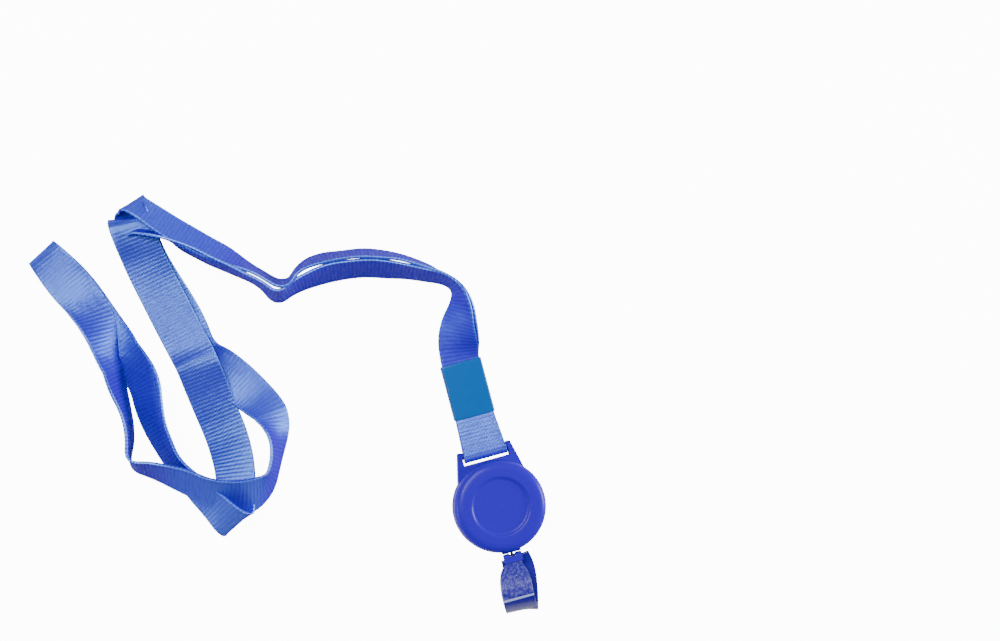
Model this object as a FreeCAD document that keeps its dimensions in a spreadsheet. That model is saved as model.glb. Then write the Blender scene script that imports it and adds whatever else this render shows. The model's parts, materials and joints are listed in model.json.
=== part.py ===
import FreeCAD, Part
import math
import os
import re

import Sketcher

# Lanyard badge holder: a neck ribbon, a crimp sleeve and a retracting reel with a strap loop.
#
# Millimetres. The origin is the centre of the reel's back face. +Y runs from there through the
# ribbon slot to the sleeve, +Z out of the front cover, and everything lies on the plane z = 0.
# Every size is a cell of the Dims sheet. The pieces read it through expressions, or through
# size() where a shape is worked out in code.

VEC = FreeCAD.Vector
DOC = FreeCAD.newDocument("LanyardBadgeHolder")
SHEET = DOC.addObject("Spreadsheet::Sheet", "Dims")
NODES = []

# alias, value in mm, what it is
DRIVING_SIZES = [
    ("case_radius", 16.0, "rear cover's outside radius"),
    ("case_height", 9.6, "back face to front ring"),
    ("split_height", 4.4, "parting plane of the two covers"),
    ("case_wall", 1.2, "side wall of the rear cover"),
    ("rear_floor", 1.2, "floor of the rear cover"),
    ("front_step", 0.1, "front cover is this much smaller in radius"),
    ("front_roof", 1.0, "front cover's thickness under the recess"),
    ("front_round", 2.4, "rounding of the front cover's rim"),
    ("recess_radius", 10.1, "round recess for a label"),
    ("recess_depth", 0.6, "depth of that recess"),
    ("recess_bevel", 0.5, "sloping edge of that recess"),
    ("lip_thick", 0.7, "front cover's locating lip"),
    ("lip_depth", 1.0, "how far the lip reaches into the rear cover"),
    ("fit_gap", 0.2, "assembly gap of the lip in the rear cover"),
    ("slot_width", 16.2, "ribbon slot, side to side"),
    ("slot_clear", 0.2, "case to the slot's near edge"),
    ("slot_depth", 3.4, "slot's near edge to the axis of the bar"),
    ("bar_radius", 1.2, "round bar that the ribbon wraps"),
    ("bar_height", 3.0, "bar's axis above the back face"),
    ("ear_wall", 1.25, "ear beside the slot"),
    ("ear_reach", 1.3, "ear beyond the bar's axis"),
    ("lug_root", 23.6, "width of the web where it leaves the case"),
    ("post_radius", 1.9, "centre post"),
    ("slit_width", 0.5, "slit in the post for the spring's tail"),
    ("shank_radius", 0.8, "screw's shank"),
    ("shank_gap", 0.1, "clearance of the shank in the post"),
    ("head_radius", 2.0, "screw's head"),
    ("head_height", 0.7, "screw's head"),
    ("head_sink", 0.15, "screw's head below the back face"),
    ("drive_width", 0.5, "cross slot in the screw's head"),
    ("drive_depth", 0.4, "cross slot in the screw's head"),
    ("run_gap", 0.05, "running fit of the spool on the post"),
    ("float_gap", 0.3, "end float of the spool, each side"),
    ("boss_radius", 3.2, "front cover's boss over the post"),
    ("flange_thick", 0.6, "spool's flanges"),
    ("flange_gap", 0.5, "spool's rim to the front cover's lip"),
    ("drum_radius", 9.2, "drum the cord winds on"),
    ("drum_wall", 0.8, "drum's wall round the spring"),
    ("cover_ledge", 0.4, "ledge the spring's cover rests on"),
    ("spring_strip", 0.22, "power spring's strip"),
    ("spring_gap", 0.3, "power spring's play in its well"),
    ("cord_radius", 0.4, "pull cord"),
    ("coil_radius", 12.0, "outside of the wound cord"),
    ("coil_gap", 0.3, "wound cord to the flanges"),
    ("bend_reach", 0.7, "how far the pull cord's bend reaches along each side"),
    ("knot_radius", 0.55, "anchor knot on the spool"),
    ("eyelet_bore", 0.7, "eyelet's bore radius"),
    ("eyelet_radius", 1.3, "eyelet's tube radius"),
    ("eyelet_flange", 1.9, "eyelet's flange radius"),
    ("flange_plate", 0.25, "eyelet's flange thickness"),
    ("nose_gap", 0.25, "eyelet to the clamp's nose"),
    ("clamp_radius", 1.25, "clamp's round nose"),
    ("clamp_width", 6.4, "clamp, side to side"),
    ("clamp_reach", 1.9, "clamp's jaws behind the pivot"),
    ("jaw_depth", 0.7, "how deep the strap sits in the jaws"),
    ("barrel_radius", 0.85, "cord stop's barrel on the pin"),
    ("barrel_width", 1.8, "cord stop's barrel"),
    ("neck_radius", 0.45, "cord stop's neck"),
    ("side_gap", 0.15, "barrel to the clamp's cheek"),
    ("pin_radius", 0.4, "pivot pin"),
    ("strap_thick", 0.9, "strap loop's vinyl"),
    ("strap_width", 11.0, "strap loop's full width"),
    ("strap_neck", 5.0, "strap loop gathered at the clamp"),
    ("ribbon_width", 14.5, "neck ribbon as it lies"),
    ("ribbon_thick", 0.9, "neck ribbon"),
    ("gathered_width", 13.2, "ribbon squeezed by the sleeve"),
    ("sleeve_side", 0.3, "sleeve's play at the ribbon's sides"),
    ("bar_ribbon", 15.2, "ribbon spread on the bar"),
    ("layer_gap", 0.1, "ribbon layer to ribbon layer in the sleeve"),
    ("loop_reach", 12.4, "axis of the bar to the sleeve's near end"),
    ("sleeve_length", 19.3, "crimp sleeve"),
    ("sleeve_wall", 0.4, "crimp sleeve"),
    ("sleeve_gap", 0.1, "sleeve's play round the ribbon"),
    ("sleeve_corner", 0.9, "sleeve's rounded sides"),
    ("sleeve_low", 0.1, "sleeve's underside above the floor"),
    ("loop_gap", 0.3, "ribbon's play round the bar"),
    ("joint_gap", 0.6, "gap between the two ribbons inside the sleeve"),
]

# alias, formula, what it is
DERIVED_SIZES = [
    ("slot_near", "case_radius + slot_clear", "case centre to the slot's near edge"),
    ("bar_offset", "slot_near + slot_depth", "case centre to the axis of the bar"),
    ("sleeve_start", "bar_offset + loop_reach", "case centre to the sleeve's near end"),
    ("bore_radius", "case_radius - case_wall", "rear cover's bore"),
    ("front_radius", "case_radius - front_step", "front cover's outside radius"),
    ("lip_outer", "bore_radius - fit_gap", "front cover's lip"),
    ("lip_inner", "lip_outer - lip_thick", "front cover's lip"),
    ("recess_floor", "case_height - recess_depth", "height of the recess floor"),
    ("roof_under", "recess_floor - front_roof", "height of the front cover's underside"),
    ("spool_low", "rear_floor + float_gap", "underside of the spool"),
    ("spool_top", "roof_under - 1.4", "top face of the spool"),
    ("boss_low", "spool_top + float_gap + run_gap", "underside of the front cover's boss"),
    ("post_top", "spool_top + float_gap", "top of the centre post"),
    ("groove_low", "spool_low + flange_thick", "cord groove"),
    ("groove_top", "spool_top - flange_thick", "cord groove"),
    ("hub_bore", "post_radius + run_gap", "spool's bore"),
    ("flange_radius", "lip_inner - flange_gap", "spool's flanges"),
    ("well_radius", "drum_radius - drum_wall", "spring's well"),
    ("ledge_radius", "well_radius + cover_ledge", "spring cover's rebate"),
    ("head_bore", "head_radius + shank_gap", "counterbore for the screw's head"),
    ("head_seat", "head_sink + head_height + run_gap", "top of that counterbore"),
    ("shank_bore", "shank_radius + shank_gap", "screw's hole in the post"),
    ("thread_bore", "shank_radius + 0.02", "screw's hole in the boss"),
    ("thread_top", "recess_floor - 0.55", "end of that hole"),
    ("screw_top", "thread_top - 0.15", "tip of the screw"),
    ("ear_half", "slot_width / 2 + ear_wall", "centre to the ear's outer side"),
    ("ear_end", "bar_offset + ear_reach", "case centre to the ear's end"),
    ("root_y", "sqrt(case_radius ^ 2 - (lug_root / 2) ^ 2)", "where the web leaves the case"),
    ("eyelet_hole", "eyelet_radius + run_gap", "eyelet's hole in the covers"),
    ("eyelet_end", "case_radius + run_gap + flange_plate", "eyelet's outer face"),
    ("pivot_offset", "eyelet_end + nose_gap + clamp_radius", "case centre to the strap's pivot"),
    ("clamp_end", "pivot_offset + clamp_reach", "open end of the jaws"),
    ("lead_radius", "coil_radius + cord_radius + run_gap", "circle the pull cord leaves on"),
    ("bend_y", "lip_inner - 0.35", "where the pull cord turns into the eyelet"),
    ("lead_x", "lead_radius * sqrt(1 - (lead_radius / bend_y) ^ 2)", "where the cord leaves the coil"),
    ("lead_y", "lead_radius ^ 2 / bend_y", "where the cord leaves the coil"),
    ("lead_length", "sqrt(bend_y ^ 2 - lead_radius ^ 2)", "coil to the bend"),
    ("knot_ring", "(drum_radius + coil_radius) / 2", "case centre to the anchor knot"),
    ("ribbon_low", "sleeve_low + sleeve_wall + sleeve_gap", "underside of the lower layer"),
    ("layer_pitch", "ribbon_thick + layer_gap", "ribbon layers in the sleeve, centre to centre"),
    ("layer_low", "ribbon_low + ribbon_thick / 2", "centre of the lower layer"),
    ("layer_top", "layer_low + layer_pitch", "centre of the upper layer"),
    ("inner_half", "gathered_width / 2 + sleeve_side", "sleeve's half width inside"),
    ("outer_half", "inner_half + sleeve_wall", "sleeve's half width outside"),
    ("inner_top", "layer_top + ribbon_thick / 2 + sleeve_gap", "sleeve's inside top"),
    ("sleeve_top", "inner_top + sleeve_wall", "sleeve's outside top"),
    ("inner_low", "sleeve_low + sleeve_wall", "sleeve's inside bottom"),
    ("inner_corner", "(sleeve_corner - sleeve_wall) * 0.6", "sleeve's inside rounding"),
    ("wrap_radius", "bar_radius + loop_gap + ribbon_thick / 2", "ribbon's centreline round the bar"),
    ("sleeve_end", "sleeve_start + sleeve_length", "sleeve's far end"),
]

# The neck ribbon's route from the sleeve round and back to it: x, y, z of its centreline, then
# the bearing and the slope, in degrees, of the line across it from its first selvedge to its second.
# Heights are for layers NECK_PITCH apart whose lowest centreline stands at NECK_LOW.
NECK_ROUTE = [
    (0.0, 43.5, 2.05, 0, 0),
    (0.0, 49.2, 2.05, 0, 0),
    (0.1, 53.8, 2.15, -2, 1),
    (1.2, 61.5, 4.9, -12, 36),
    (5.2, 71.0, 7.6, -20, 70),
    (4.6, 78.6, 7.9, 40, 84),
    (-8.0, 85.2, 7.6, 88, 75),
    (-22.0, 90.6, 7.3, 83, 70),
    (-37.0, 92.6, 7.3, 80, 70),
    (-48.0, 91.0, 7.4, 76, 73),
    (-55.5, 87.5, 7.6, 60, 78),
    (-60.0, 95.0, 7.8, 40, 86),
    (-68.0, 101.6, 7.8, 30, 86),
    (-78.0, 109.5, 8.2, 30, 80),
    (-88.0, 118.5, 7.9, 150, 56),
    (-95.6, 126.6, 4.3, 180, 13),
    (-97.2, 126.9, 8.9, 180, 6),
    (-96.4, 119.5, 8.6, 163, 6),
    (-95.0, 109.5, 5.4, 163, 3),
    (-92.5, 98.0, 5.6, 165, 0),
    (-90.0, 86.5, 7.2, 166, 0),
    (-87.3, 75.5, 9.6, 170, 0),
    (-86.2, 66.5, 6.4, 170, 0),
    (-84.8, 56.0, 4.2, 167, -4),
    (-83.3, 45.5, 3.8, 168, -12),
    (-83.8, 34.5, 3.9, 175, -20),
    (-86.3, 25.0, 4.5, 192, -28),
    (-86.4, 17.6, 5.6, 208, -35),
    (-89.3, 17.9, 9.0, 208, -38),
    (-95.0, 28.5, 8.4, 208, -52),
    (-103.0, 42.0, 7.6, 205, -67),
    (-105.4, 52.5, 7.2, 190, -62),
    (-106.3, 62.5, 6.3, 184, -48),
    (-105.4, 72.5, 5.8, 186, -42),
    (-109.8, 83.0, 4.5, 200, -28),
    (-115.6, 96.8, 3.0, 204, -15),
    (-121.0, 110.5, 2.1, 206, -6),
    (-127.3, 122.6, 1.9, 209, -2),
    (-128.0, 123.2, 7.6, 209, 0),
    (-122.3, 112.0, 8.6, 200, 10),
    (-116.8, 101.3, 9.2, 190, 24),
    (-115.0, 90.5, 10.6, 182, 50),
    (-114.8, 78.5, 9.3, 175, 66),
    (-114.0, 66.5, 7.8, 178, 78),
    (-114.2, 56.5, 7.8, 175, 85),
    (-118.0, 46.5, 7.8, 80, 82),
    (-110.0, 42.5, 8.3, 55, 68),
    (-100.5, 36.0, 10.8, 80, 52),
    (-92.0, 29.0, 13.0, 97, 36),
    (-82.5, 25.3, 12.6, 98, 38),
    (-74.2, 27.0, 8.6, 95, 62),
    (-69.6, 34.8, 7.8, 135, 78),
    (-67.2, 42.0, 7.4, 178, 67),
    (-67.2, 50.8, 5.4, 188, 38),
    (-72.2, 59.6, 3.4, 195, 18),
    (-79.2, 69.3, 2.4, 200, 6),
    (-86.0, 76.3, 4.4, 192, -28),
    (-87.4, 87.0, 2.8, 193, -12),
    (-90.8, 98.5, 2.0, 196, -5),
    (-94.5, 110.0, 1.8, 194, -3),
    (-96.4, 121.0, 1.8, 192, -2),
    (-95.4, 131.3, 3.0, 196, 10),
    (-94.2, 132.0, 10.0, 208, 42),
    (-86.5, 122.5, 8.2, 228, 52),
    (-76.5, 113.3, 7.6, 228, 55),
    (-68.0, 105.8, 7.6, 234, 64),
    (-59.5, 98.5, 7.8, 245, 80),
    (-51.8, 91.0, 7.8, 251, 76),
    (-45.0, 97.0, 7.8, 252, 74),
    (-36.5, 97.6, 7.8, 251, 73),
    (-22.5, 96.2, 7.8, 246, 75),
    (-9.0, 90.3, 7.8, 240, 77),
    (3.6, 81.2, 7.9, 260, 86),
    (6.2, 72.0, 7.6, 335, 70),
    (2.4, 61.5, 4.4, 348, 36),
    (0.1, 53.8, 1.1, 358, 1),
    (0.0, 49.2, 1.05, 360, 0),
    (0.0, 43.5, 1.05, 360, 0),
]

# The strap loop's route from the clamp round and back, from the jaws' inner end and the height
# of the pivot: x, y, z, then its share of the way from the gathered width to the full width.
STRAP_ROUTE = [
    (0.0, -0.5, 0.0, 0.0),
    (0.0, -1.3, 0.0, 0.0),
    (-0.5, -2.6, 1.0, 0.42),
    (-1.2, -4.7, 2.7, 0.85),
    (-1.8, -7.7, 4.0, 1.0),
    (-2.2, -11.7, 4.6, 1.0),
    (-2.0, -15.0, 2.3, 1.0),
    (-1.5, -17.4, -1.3, 1.0),
    (-0.9, -17.1, -3.2, 1.0),
    (0.6, -11.0, -3.3, 1.0),
    (1.5, -5.0, -3.25, 1.0),
    (1.3, -1.4, -3.1, 0.95),
    (0.9, 0.8, -2.0, 0.85),
]

NECK_SLEEVE_START = 32.0
NECK_LOW = 1.05
NECK_PITCH = 1.0
RUN_SHARE = 0.45
ARC_STEP = 15.0
TWIST_STEP = 8.0
SPRING_TURNS = 9
VOLUME_TOLERANCE = 0.06
ALIASES = {row[0] for row in DRIVING_SIZES + DERIVED_SIZES}


def fill_sheet():
    """Writes every size into the sheet, one row each, with its alias."""
    rows = [(alias, str(value), note) for alias, value, note in DRIVING_SIZES]
    rows += [(alias, f"={formula}", note) for alias, formula, note in DERIVED_SIZES]
    for row, (alias, content, note) in enumerate(rows, start=1):
        SHEET.set(f"A{row}", note)
        SHEET.set(f"B{row}", content)
        SHEET.setAlias(f"B{row}", alias)
    DOC.recompute()


def size(alias):
    """The value of one cell of the sheet, as a plain number."""
    return float(SHEET.get(alias))


def dims(expression):
    """The expression with every alias written as a cell of the Dims sheet."""

    def qualified(match):
        word = match.group(0)
        return f"Dims.{word}" if word in ALIASES else word

    return re.sub(r"[a-z_]+", qualified, str(expression))


def bind(target, prop, expression):
    """Binds a property to an expression in the sheet's aliases."""
    target.setExpression(prop, dims(expression))


def bind_base(target, x, y, z):
    """Binds where an object stands."""
    bind(target, "Placement.Base.x", x)
    bind(target, "Placement.Base.y", y)
    bind(target, "Placement.Base.z", z)


def cylinder(name, radius, height, base=(0, 0, 0), direction=(0, 0, 1)):
    """A cylinder from its base centre along a direction."""
    made = DOC.addObject("Part::Cylinder", name)
    bind(made, "Radius", radius)
    bind(made, "Height", height)
    made.Placement = FreeCAD.Placement(VEC(), FreeCAD.Rotation(VEC(0, 0, 1), VEC(*direction)))
    bind_base(made, *base)
    return made


def block(name, lengths, base):
    """A box from its lowest corner."""
    made = DOC.addObject("Part::Box", name)
    for prop, length in zip(("Length", "Width", "Height"), lengths):
        bind(made, prop, length)
    bind_base(made, *base)
    return made


def ball(name, radius, base):
    """A sphere."""
    made = DOC.addObject("Part::Sphere", name)
    bind(made, "Radius", radius)
    bind_base(made, *base)
    return made


def fused(name, pieces):
    """The union of several objects."""
    made = DOC.addObject("Part::MultiFuse", name)
    made.Shapes = pieces
    made.Refine = True
    return made


def cut(name, base, tools):
    """One object less several others."""
    tool = tools[0] if len(tools) == 1 else fused(f"{name}_tools", tools)
    made = DOC.addObject("Part::Cut", name)
    made.Base = base
    made.Tool = tool
    made.Refine = True
    return made


def finish_node(made, name):
    """Names a finished piece after its file and puts it on the list."""
    made.Label = name
    NODES.append(made)
    return made


def origin_plane(body, role):
    """One of a body's own three planes."""
    return next(item for item in body.Origin.OriginFeatures if item.Role == role)


def number(expression):
    """The value of a short sum or a single alias, worked out through a spare cell."""
    SHEET.set("D1", f"={expression}")
    SHEET.recompute()
    return float(SHEET.get("D1"))


def draw_loop(sketch, corners):
    """Draws one closed loop and binds every corner to the sheet.

    A corner is (x, y) for a straight side to the next corner, or (x, y, radius, side) for an
    arc to it, with side +1 where the arc bulges to the right of the way there.
    """
    first = sketch.GeometryCount
    points = [VEC(number(c[0]), number(c[1]), 0) for c in corners]
    count = len(corners)
    for index, corner in enumerate(corners):
        start = points[index]
        end = points[(index + 1) % count]
        if len(corner) == 2:
            sketch.addGeometry(Part.LineSegment(start, end), False)
            continue
        radius = number(corner[2])
        chord = end - start
        half = chord.Length / 2
        right = VEC(chord.y, -chord.x, 0).normalize() * corner[3]
        rise = radius - math.sqrt(max(radius * radius - half * half, 0.0))
        sketch.addGeometry(Part.Arc(start, (start + end) * 0.5 + right * rise, end), False)
    ends = [corner_ends(sketch, first + index, points[index]) for index in range(count)]
    for index, corner in enumerate(corners):
        here = first + index
        after = first + (index + 1) % count
        sketch.addConstraint(
            Sketcher.Constraint("Coincident", here, ends[index][1], after, ends[(index + 1) % count][0])
        )
        for kind, axis, expression, value in (
            ("DistanceX", -2, corner[0], points[index].x),
            ("DistanceY", -1, corner[1], points[index].y),
        ):
            if abs(value) < 1e-9:
                sketch.addConstraint(Sketcher.Constraint("PointOnObject", here, ends[index][0], axis))
                continue
            name = f"{kind}_{here}"
            added = sketch.addConstraint(Sketcher.Constraint(kind, -1, 1, here, ends[index][0], value))
            sketch.renameConstraint(added, name)
            bind(sketch, f"Constraints.{name}", expression)
        if len(corner) == 4:
            name = f"Radius_{here}"
            added = sketch.addConstraint(Sketcher.Constraint("Radius", here, number(corner[2])))
            sketch.renameConstraint(added, name)
            bind(sketch, f"Constraints.{name}", corner[2])


def corner_ends(sketch, index, start):
    """Which end of a drawn side is its start: (start position, end position)."""
    geometry = sketch.Geometry[index]
    return (1, 2) if geometry.StartPoint.distanceToPoint(start) < 1e-6 else (2, 1)


def sketch_on(body, role, name, loops):
    """A sketch of one or more loops on one of the body's planes."""
    sketch = body.newObject("Sketcher::SketchObject", name)
    sketch.AttachmentSupport = [(origin_plane(body, role), "")]
    sketch.MapMode = "FlatFace"
    for loop in loops:
        draw_loop(sketch, loop)
    DOC.recompute()
    return sketch


def turned(name, profile):
    """A body turned about Z from corners given as (radius, height)."""
    body = DOC.addObject("PartDesign::Body", name)
    sketch = sketch_on(body, "XZ_Plane", f"{name}_profile", [profile])
    turn = body.newObject("PartDesign::Revolution", f"{name}_turn")
    turn.Profile = sketch
    turn.ReferenceAxis = (sketch, ["V_Axis"])
    turn.Angle = 360.0
    sketch.Visibility = False
    body.Tip = turn
    DOC.recompute()
    return body


def padded(name, role, loops, depth, midplane=False):
    """A body padded from loops on one of its planes."""
    body = DOC.addObject("PartDesign::Body", name)
    sketch = sketch_on(body, role, f"{name}_profile", loops)
    pad = body.newObject("PartDesign::Pad", f"{name}_pad")
    pad.Profile = sketch
    pad.Midplane = midplane
    bind(pad, "Length", depth)
    sketch.Visibility = False
    body.Tip = pad
    DOC.recompute()
    return body


def rounded_route(points, radii=None):
    """Stations along straight runs joined by arcs that touch both.

    points are (position, across) pairs. The result is a list of (position, tangent, across,
    share), where share runs with the distance along the polygon. An arc's radius is RUN_SHARE
    of the shorter run over the tangent of half the turn unless radii names one. A point in the
    middle of a straight run gets one station and no arc.
    """
    places = [place for place, _ in points]
    runs = [places[i + 1] - places[i] for i in range(len(places) - 1)]
    lengths = [run.Length for run in runs]
    ways = [VEC(run).normalize() for run in runs]
    used = []
    stations = []
    done = 0.0
    total = sum(lengths)

    def add(place, tangent, index, part, travelled):
        near = points[index][1]
        far = points[min(index + 1, len(points) - 1)][1]
        across = near * (1.0 - part) + far * part
        stations.append((place, tangent, across, travelled / total))

    add(places[0], ways[0], 0, 0.0, 0.0)
    for i in range(1, len(places) - 1):
        turn = ways[i - 1].getAngle(ways[i])
        straight = turn < 1e-6
        reach = 0.0 if straight else RUN_SHARE * min(lengths[i - 1], lengths[i])
        radius = math.inf if straight else reach / math.tan(turn / 2)
        if radii and radii[i] is not None:
            radius = radii[i]
            reach = radius * math.tan(turn / 2)
        before = 1.0 - reach / lengths[i - 1]
        after = stations[-1][3] * total - done
        add_twist(stations, places[i - 1], ways[i - 1], points[i - 1][1], points[i][1],
                  (max(after, 0.0) / lengths[i - 1], before), lengths[i - 1], done, total)
        done += lengths[i - 1]
        if straight:
            add(places[i], ways[i], i, 0.0, done)
            continue
        used.append((i, math.degrees(turn), radius))
        outward = (ways[i] - ways[i - 1] * ways[i].dot(ways[i - 1])).normalize()
        centre = places[i] - ways[i - 1] * reach + outward * radius
        steps = max(2, math.ceil(math.degrees(turn) / ARC_STEP))
        for step in range(steps + 1):
            share = step / steps
            angle = turn * share
            place = centre - outward * (radius * math.cos(angle)) + ways[i - 1] * (radius * math.sin(angle))
            tangent = ways[i - 1] * math.cos(angle) + outward * math.sin(angle)
            offset = reach * (2.0 * share - 1.0)
            if offset < 0.0:
                add(place, tangent, i - 1, 1.0 + offset / lengths[i - 1], done + offset)
            else:
                add(place, tangent, i, offset / lengths[i], done + offset)
    add(places[-1], ways[-1], len(points) - 1, 0.0, total)
    return stations, used


def add_twist(stations, place, way, near, far, span, length, done, total):
    """Adds stations along a straight run where the line across it turns by more than TWIST_STEP."""
    first, last = (near * (1.0 - part) + far * part for part in span)
    extra = int(math.degrees(first.getAngle(last)) / TWIST_STEP)
    for step in range(1, extra + 1):
        part = span[0] + (span[1] - span[0]) * step / (extra + 1)
        across = near * (1.0 - part) + far * part
        stations.append((place + way * (length * part), way, across, (done + length * part) / total))


def strip_solid(stations, widths, thick):
    """A flat strip: a rectangle at every station, each joined to the next by flat facets."""
    corners = []
    facets = [(0, 1, 2), (0, 2, 3)]
    length = 0.0
    volume = 0.0
    for index, ((place, tangent, across, _), width) in enumerate(zip(stations, widths)):
        side = (across - tangent * across.dot(tangent)).normalize()
        face = tangent.cross(side).normalize() * (thick / 2)
        side = side * (width / 2)
        corners += [place - side - face, place + side - face, place + side + face, place - side + face]
        if index == 0:
            continue
        step = (place - stations[index - 1][0]).Length
        length += step
        volume += step * thick * (width + widths[index - 1]) / 2
        first = 4 * (index - 1)
        for corner in range(4):
            here = first + corner
            after = first + (corner + 1) % 4
            if corner < 2:
                facets += [(here, here + 4, after + 4), (here, after + 4, after)]
            else:
                facets += [(here, here + 4, after), (here + 4, after + 4, after)]
    last = 4 * (len(stations) - 1)
    facets += [(last, last + 2, last + 1), (last, last + 3, last + 2)]
    shell = Part.Shape()
    shell.makeShapeFromMesh((corners, facets), 0.001)
    solid = Part.makeSolid(shell)
    if solid.Volume < 0.0:
        solid.reverse()
    return solid, length, volume


def bearing(azimuth, slope):
    """The unit vector at a bearing and a slope, both in degrees."""
    turn = math.radians(azimuth)
    rise = math.radians(slope)
    return VEC(math.cos(turn) * math.cos(rise), math.sin(turn) * math.cos(rise), math.sin(rise))


def strip_node(name, stations, widths, thick, bends):
    """Makes a strip's node and reports its length, bends and volume."""
    solid, length, volume = strip_solid(stations, widths, thick)
    made = DOC.addObject("Part::Feature", name)
    made.Shape = solid
    made.Placement = FreeCAD.Placement()
    error = abs(solid.Volume - volume) / volume
    tightest = ", ".join(f"{radius:.1f}" for _, _, radius in bends)
    print(f"{name}: length {length:.1f}, volume {solid.Volume:.0f}, section x length {volume:.0f}")
    print(f"{name}: bend radii {tightest}")
    if error > VOLUME_TOLERANCE:
        raise RuntimeError(f"{name}: volume is {100 * error:.1f}% off section x length")
    if solid.BoundBox.ZMin < 0.0:
        raise RuntimeError(f"{name}: reaches {solid.BoundBox.ZMin:.2f} below the floor")
    return finish_node(made, name)


def make_lanyard_ribbon():
    """The neck ribbon, out of the sleeve, round its folds and back into it."""
    ahead = size("sleeve_start") - NECK_SLEEVE_START
    stretch = size("layer_pitch") / NECK_PITCH
    low = size("layer_low")
    points = [
        (VEC(x, y + ahead, low + (z - NECK_LOW) * stretch), bearing(a, s)) for x, y, z, a, s in NECK_ROUTE
    ]
    stations, bends = rounded_route(points)
    full = size("ribbon_width")
    gathered = size("gathered_width")
    sleeve_end = size("sleeve_end")
    widths = []
    for place, _, _, share in stations:
        near_end = share < 0.06 or share > 0.94
        freed = min(max((place.y - sleeve_end) / 10.0, 0.0), 1.0) if near_end else 1.0
        widths.append(gathered + (full - gathered) * freed)
    return strip_node("lanyard_ribbon", stations, widths, size("ribbon_thick"), bends)


def make_slot_loop():
    """The ribbon's short loop from the sleeve through the slot, round the bar and back."""
    radius = size("wrap_radius")
    bar_y = size("bar_offset")
    bar_z = size("bar_height")
    low = bar_z - radius
    top = size("layer_top")
    inside = size("sleeve_end") - size("sleeve_length") * 0.4 - size("joint_gap")
    meet = size("sleeve_start") - 1.5
    reach = math.hypot(meet - bar_y, top - bar_z)
    lean = math.atan2(top - bar_z, meet - bar_y) + math.acos(radius / reach)
    fall = math.pi / 2 - lean
    crown = bar_z + radius / math.cos(fall) + radius * math.tan(fall)
    across = VEC(1, 0, 0)
    route = [
        (inside, size("layer_low")),
        (meet, size("layer_low")),
        (bar_y + 3.0, low),
        (bar_y - radius, low),
        (bar_y - radius, crown),
        (meet, top),
        (inside, top),
    ]
    if abs(low - size("layer_low")) < 1e-6:
        del route[2]
    points = [(VEC(0, y, z), across) for y, z in route]
    radii = [None] * len(points)
    radii[-4] = radius
    radii[-3] = radius * 0.999
    radii[-2] = 8.0
    stations, bends = rounded_route(points, radii)
    wide = size("bar_ribbon")
    gathered = size("gathered_width")
    span = size("sleeve_start") - bar_y
    widths = []
    for place, _, _, _ in stations:
        freed = min(max((size("sleeve_start") - place.y) / span, 0.0), 1.0)
        widths.append(gathered + (wide - gathered) * freed)
    return strip_node("ribbon_slot_loop", stations, widths, size("ribbon_thick"), bends)


def make_end_strap():
    """The vinyl strap loop, gathered in the clamp and open below it."""
    shift = VEC(0, -(size("clamp_end") - size("jaw_depth")), size("split_height"))
    points = [(VEC(x, y, z) + shift, VEC(1, -0.08, 0)) for x, y, z, _ in STRAP_ROUTE]
    stations, bends = rounded_route(points)
    spread = size("strap_width") - size("strap_neck")
    shares = [row[3] for row in STRAP_ROUTE]
    distances = [0.0]
    for before, after in zip(points, points[1:]):
        distances.append(distances[-1] + (after[0] - before[0]).Length)
    widths = []
    for _, _, _, share in stations:
        travelled = share * distances[-1]
        leg = next(i for i in range(len(shares) - 1) if travelled <= distances[i + 1] + 1e-6)
        part = (travelled - distances[leg]) / (distances[leg + 1] - distances[leg])
        freed = shares[leg] + (shares[leg + 1] - shares[leg]) * part
        widths.append(size("strap_neck") + spread * freed)
    return strip_node("end_strap", stations, widths, size("strap_thick"), bends)


def make_crimp_sleeve():
    """The flat sleeve crimped over both ribbons."""

    def rounded(half, low, top, corner):
        """A rectangle with rounded corners, anticlockwise from its lower left side."""
        return [
            (f"-({half}) + {corner}", low),
            (f"{half} - {corner}", low, corner, 1),
            (half, f"{low} + {corner}"),
            (half, f"{top} - {corner}", corner, 1),
            (f"{half} - {corner}", top),
            (f"-({half}) + {corner}", top, corner, 1),
            (f"-({half})", f"{top} - {corner}"),
            (f"-({half})", f"{low} + {corner}", corner, 1),
        ]

    loops = [
        rounded("outer_half", "sleeve_low", "sleeve_top", "sleeve_corner"),
        rounded("inner_half", "inner_low", "inner_top", "inner_corner"),
    ]
    body = padded("crimp_sleeve", "XZ_Plane", loops, "sleeve_length", midplane=True)
    bind(body, "Placement.Base.y", "sleeve_start + sleeve_length / 2")
    return finish_node(body, "crimp_sleeve")


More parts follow.
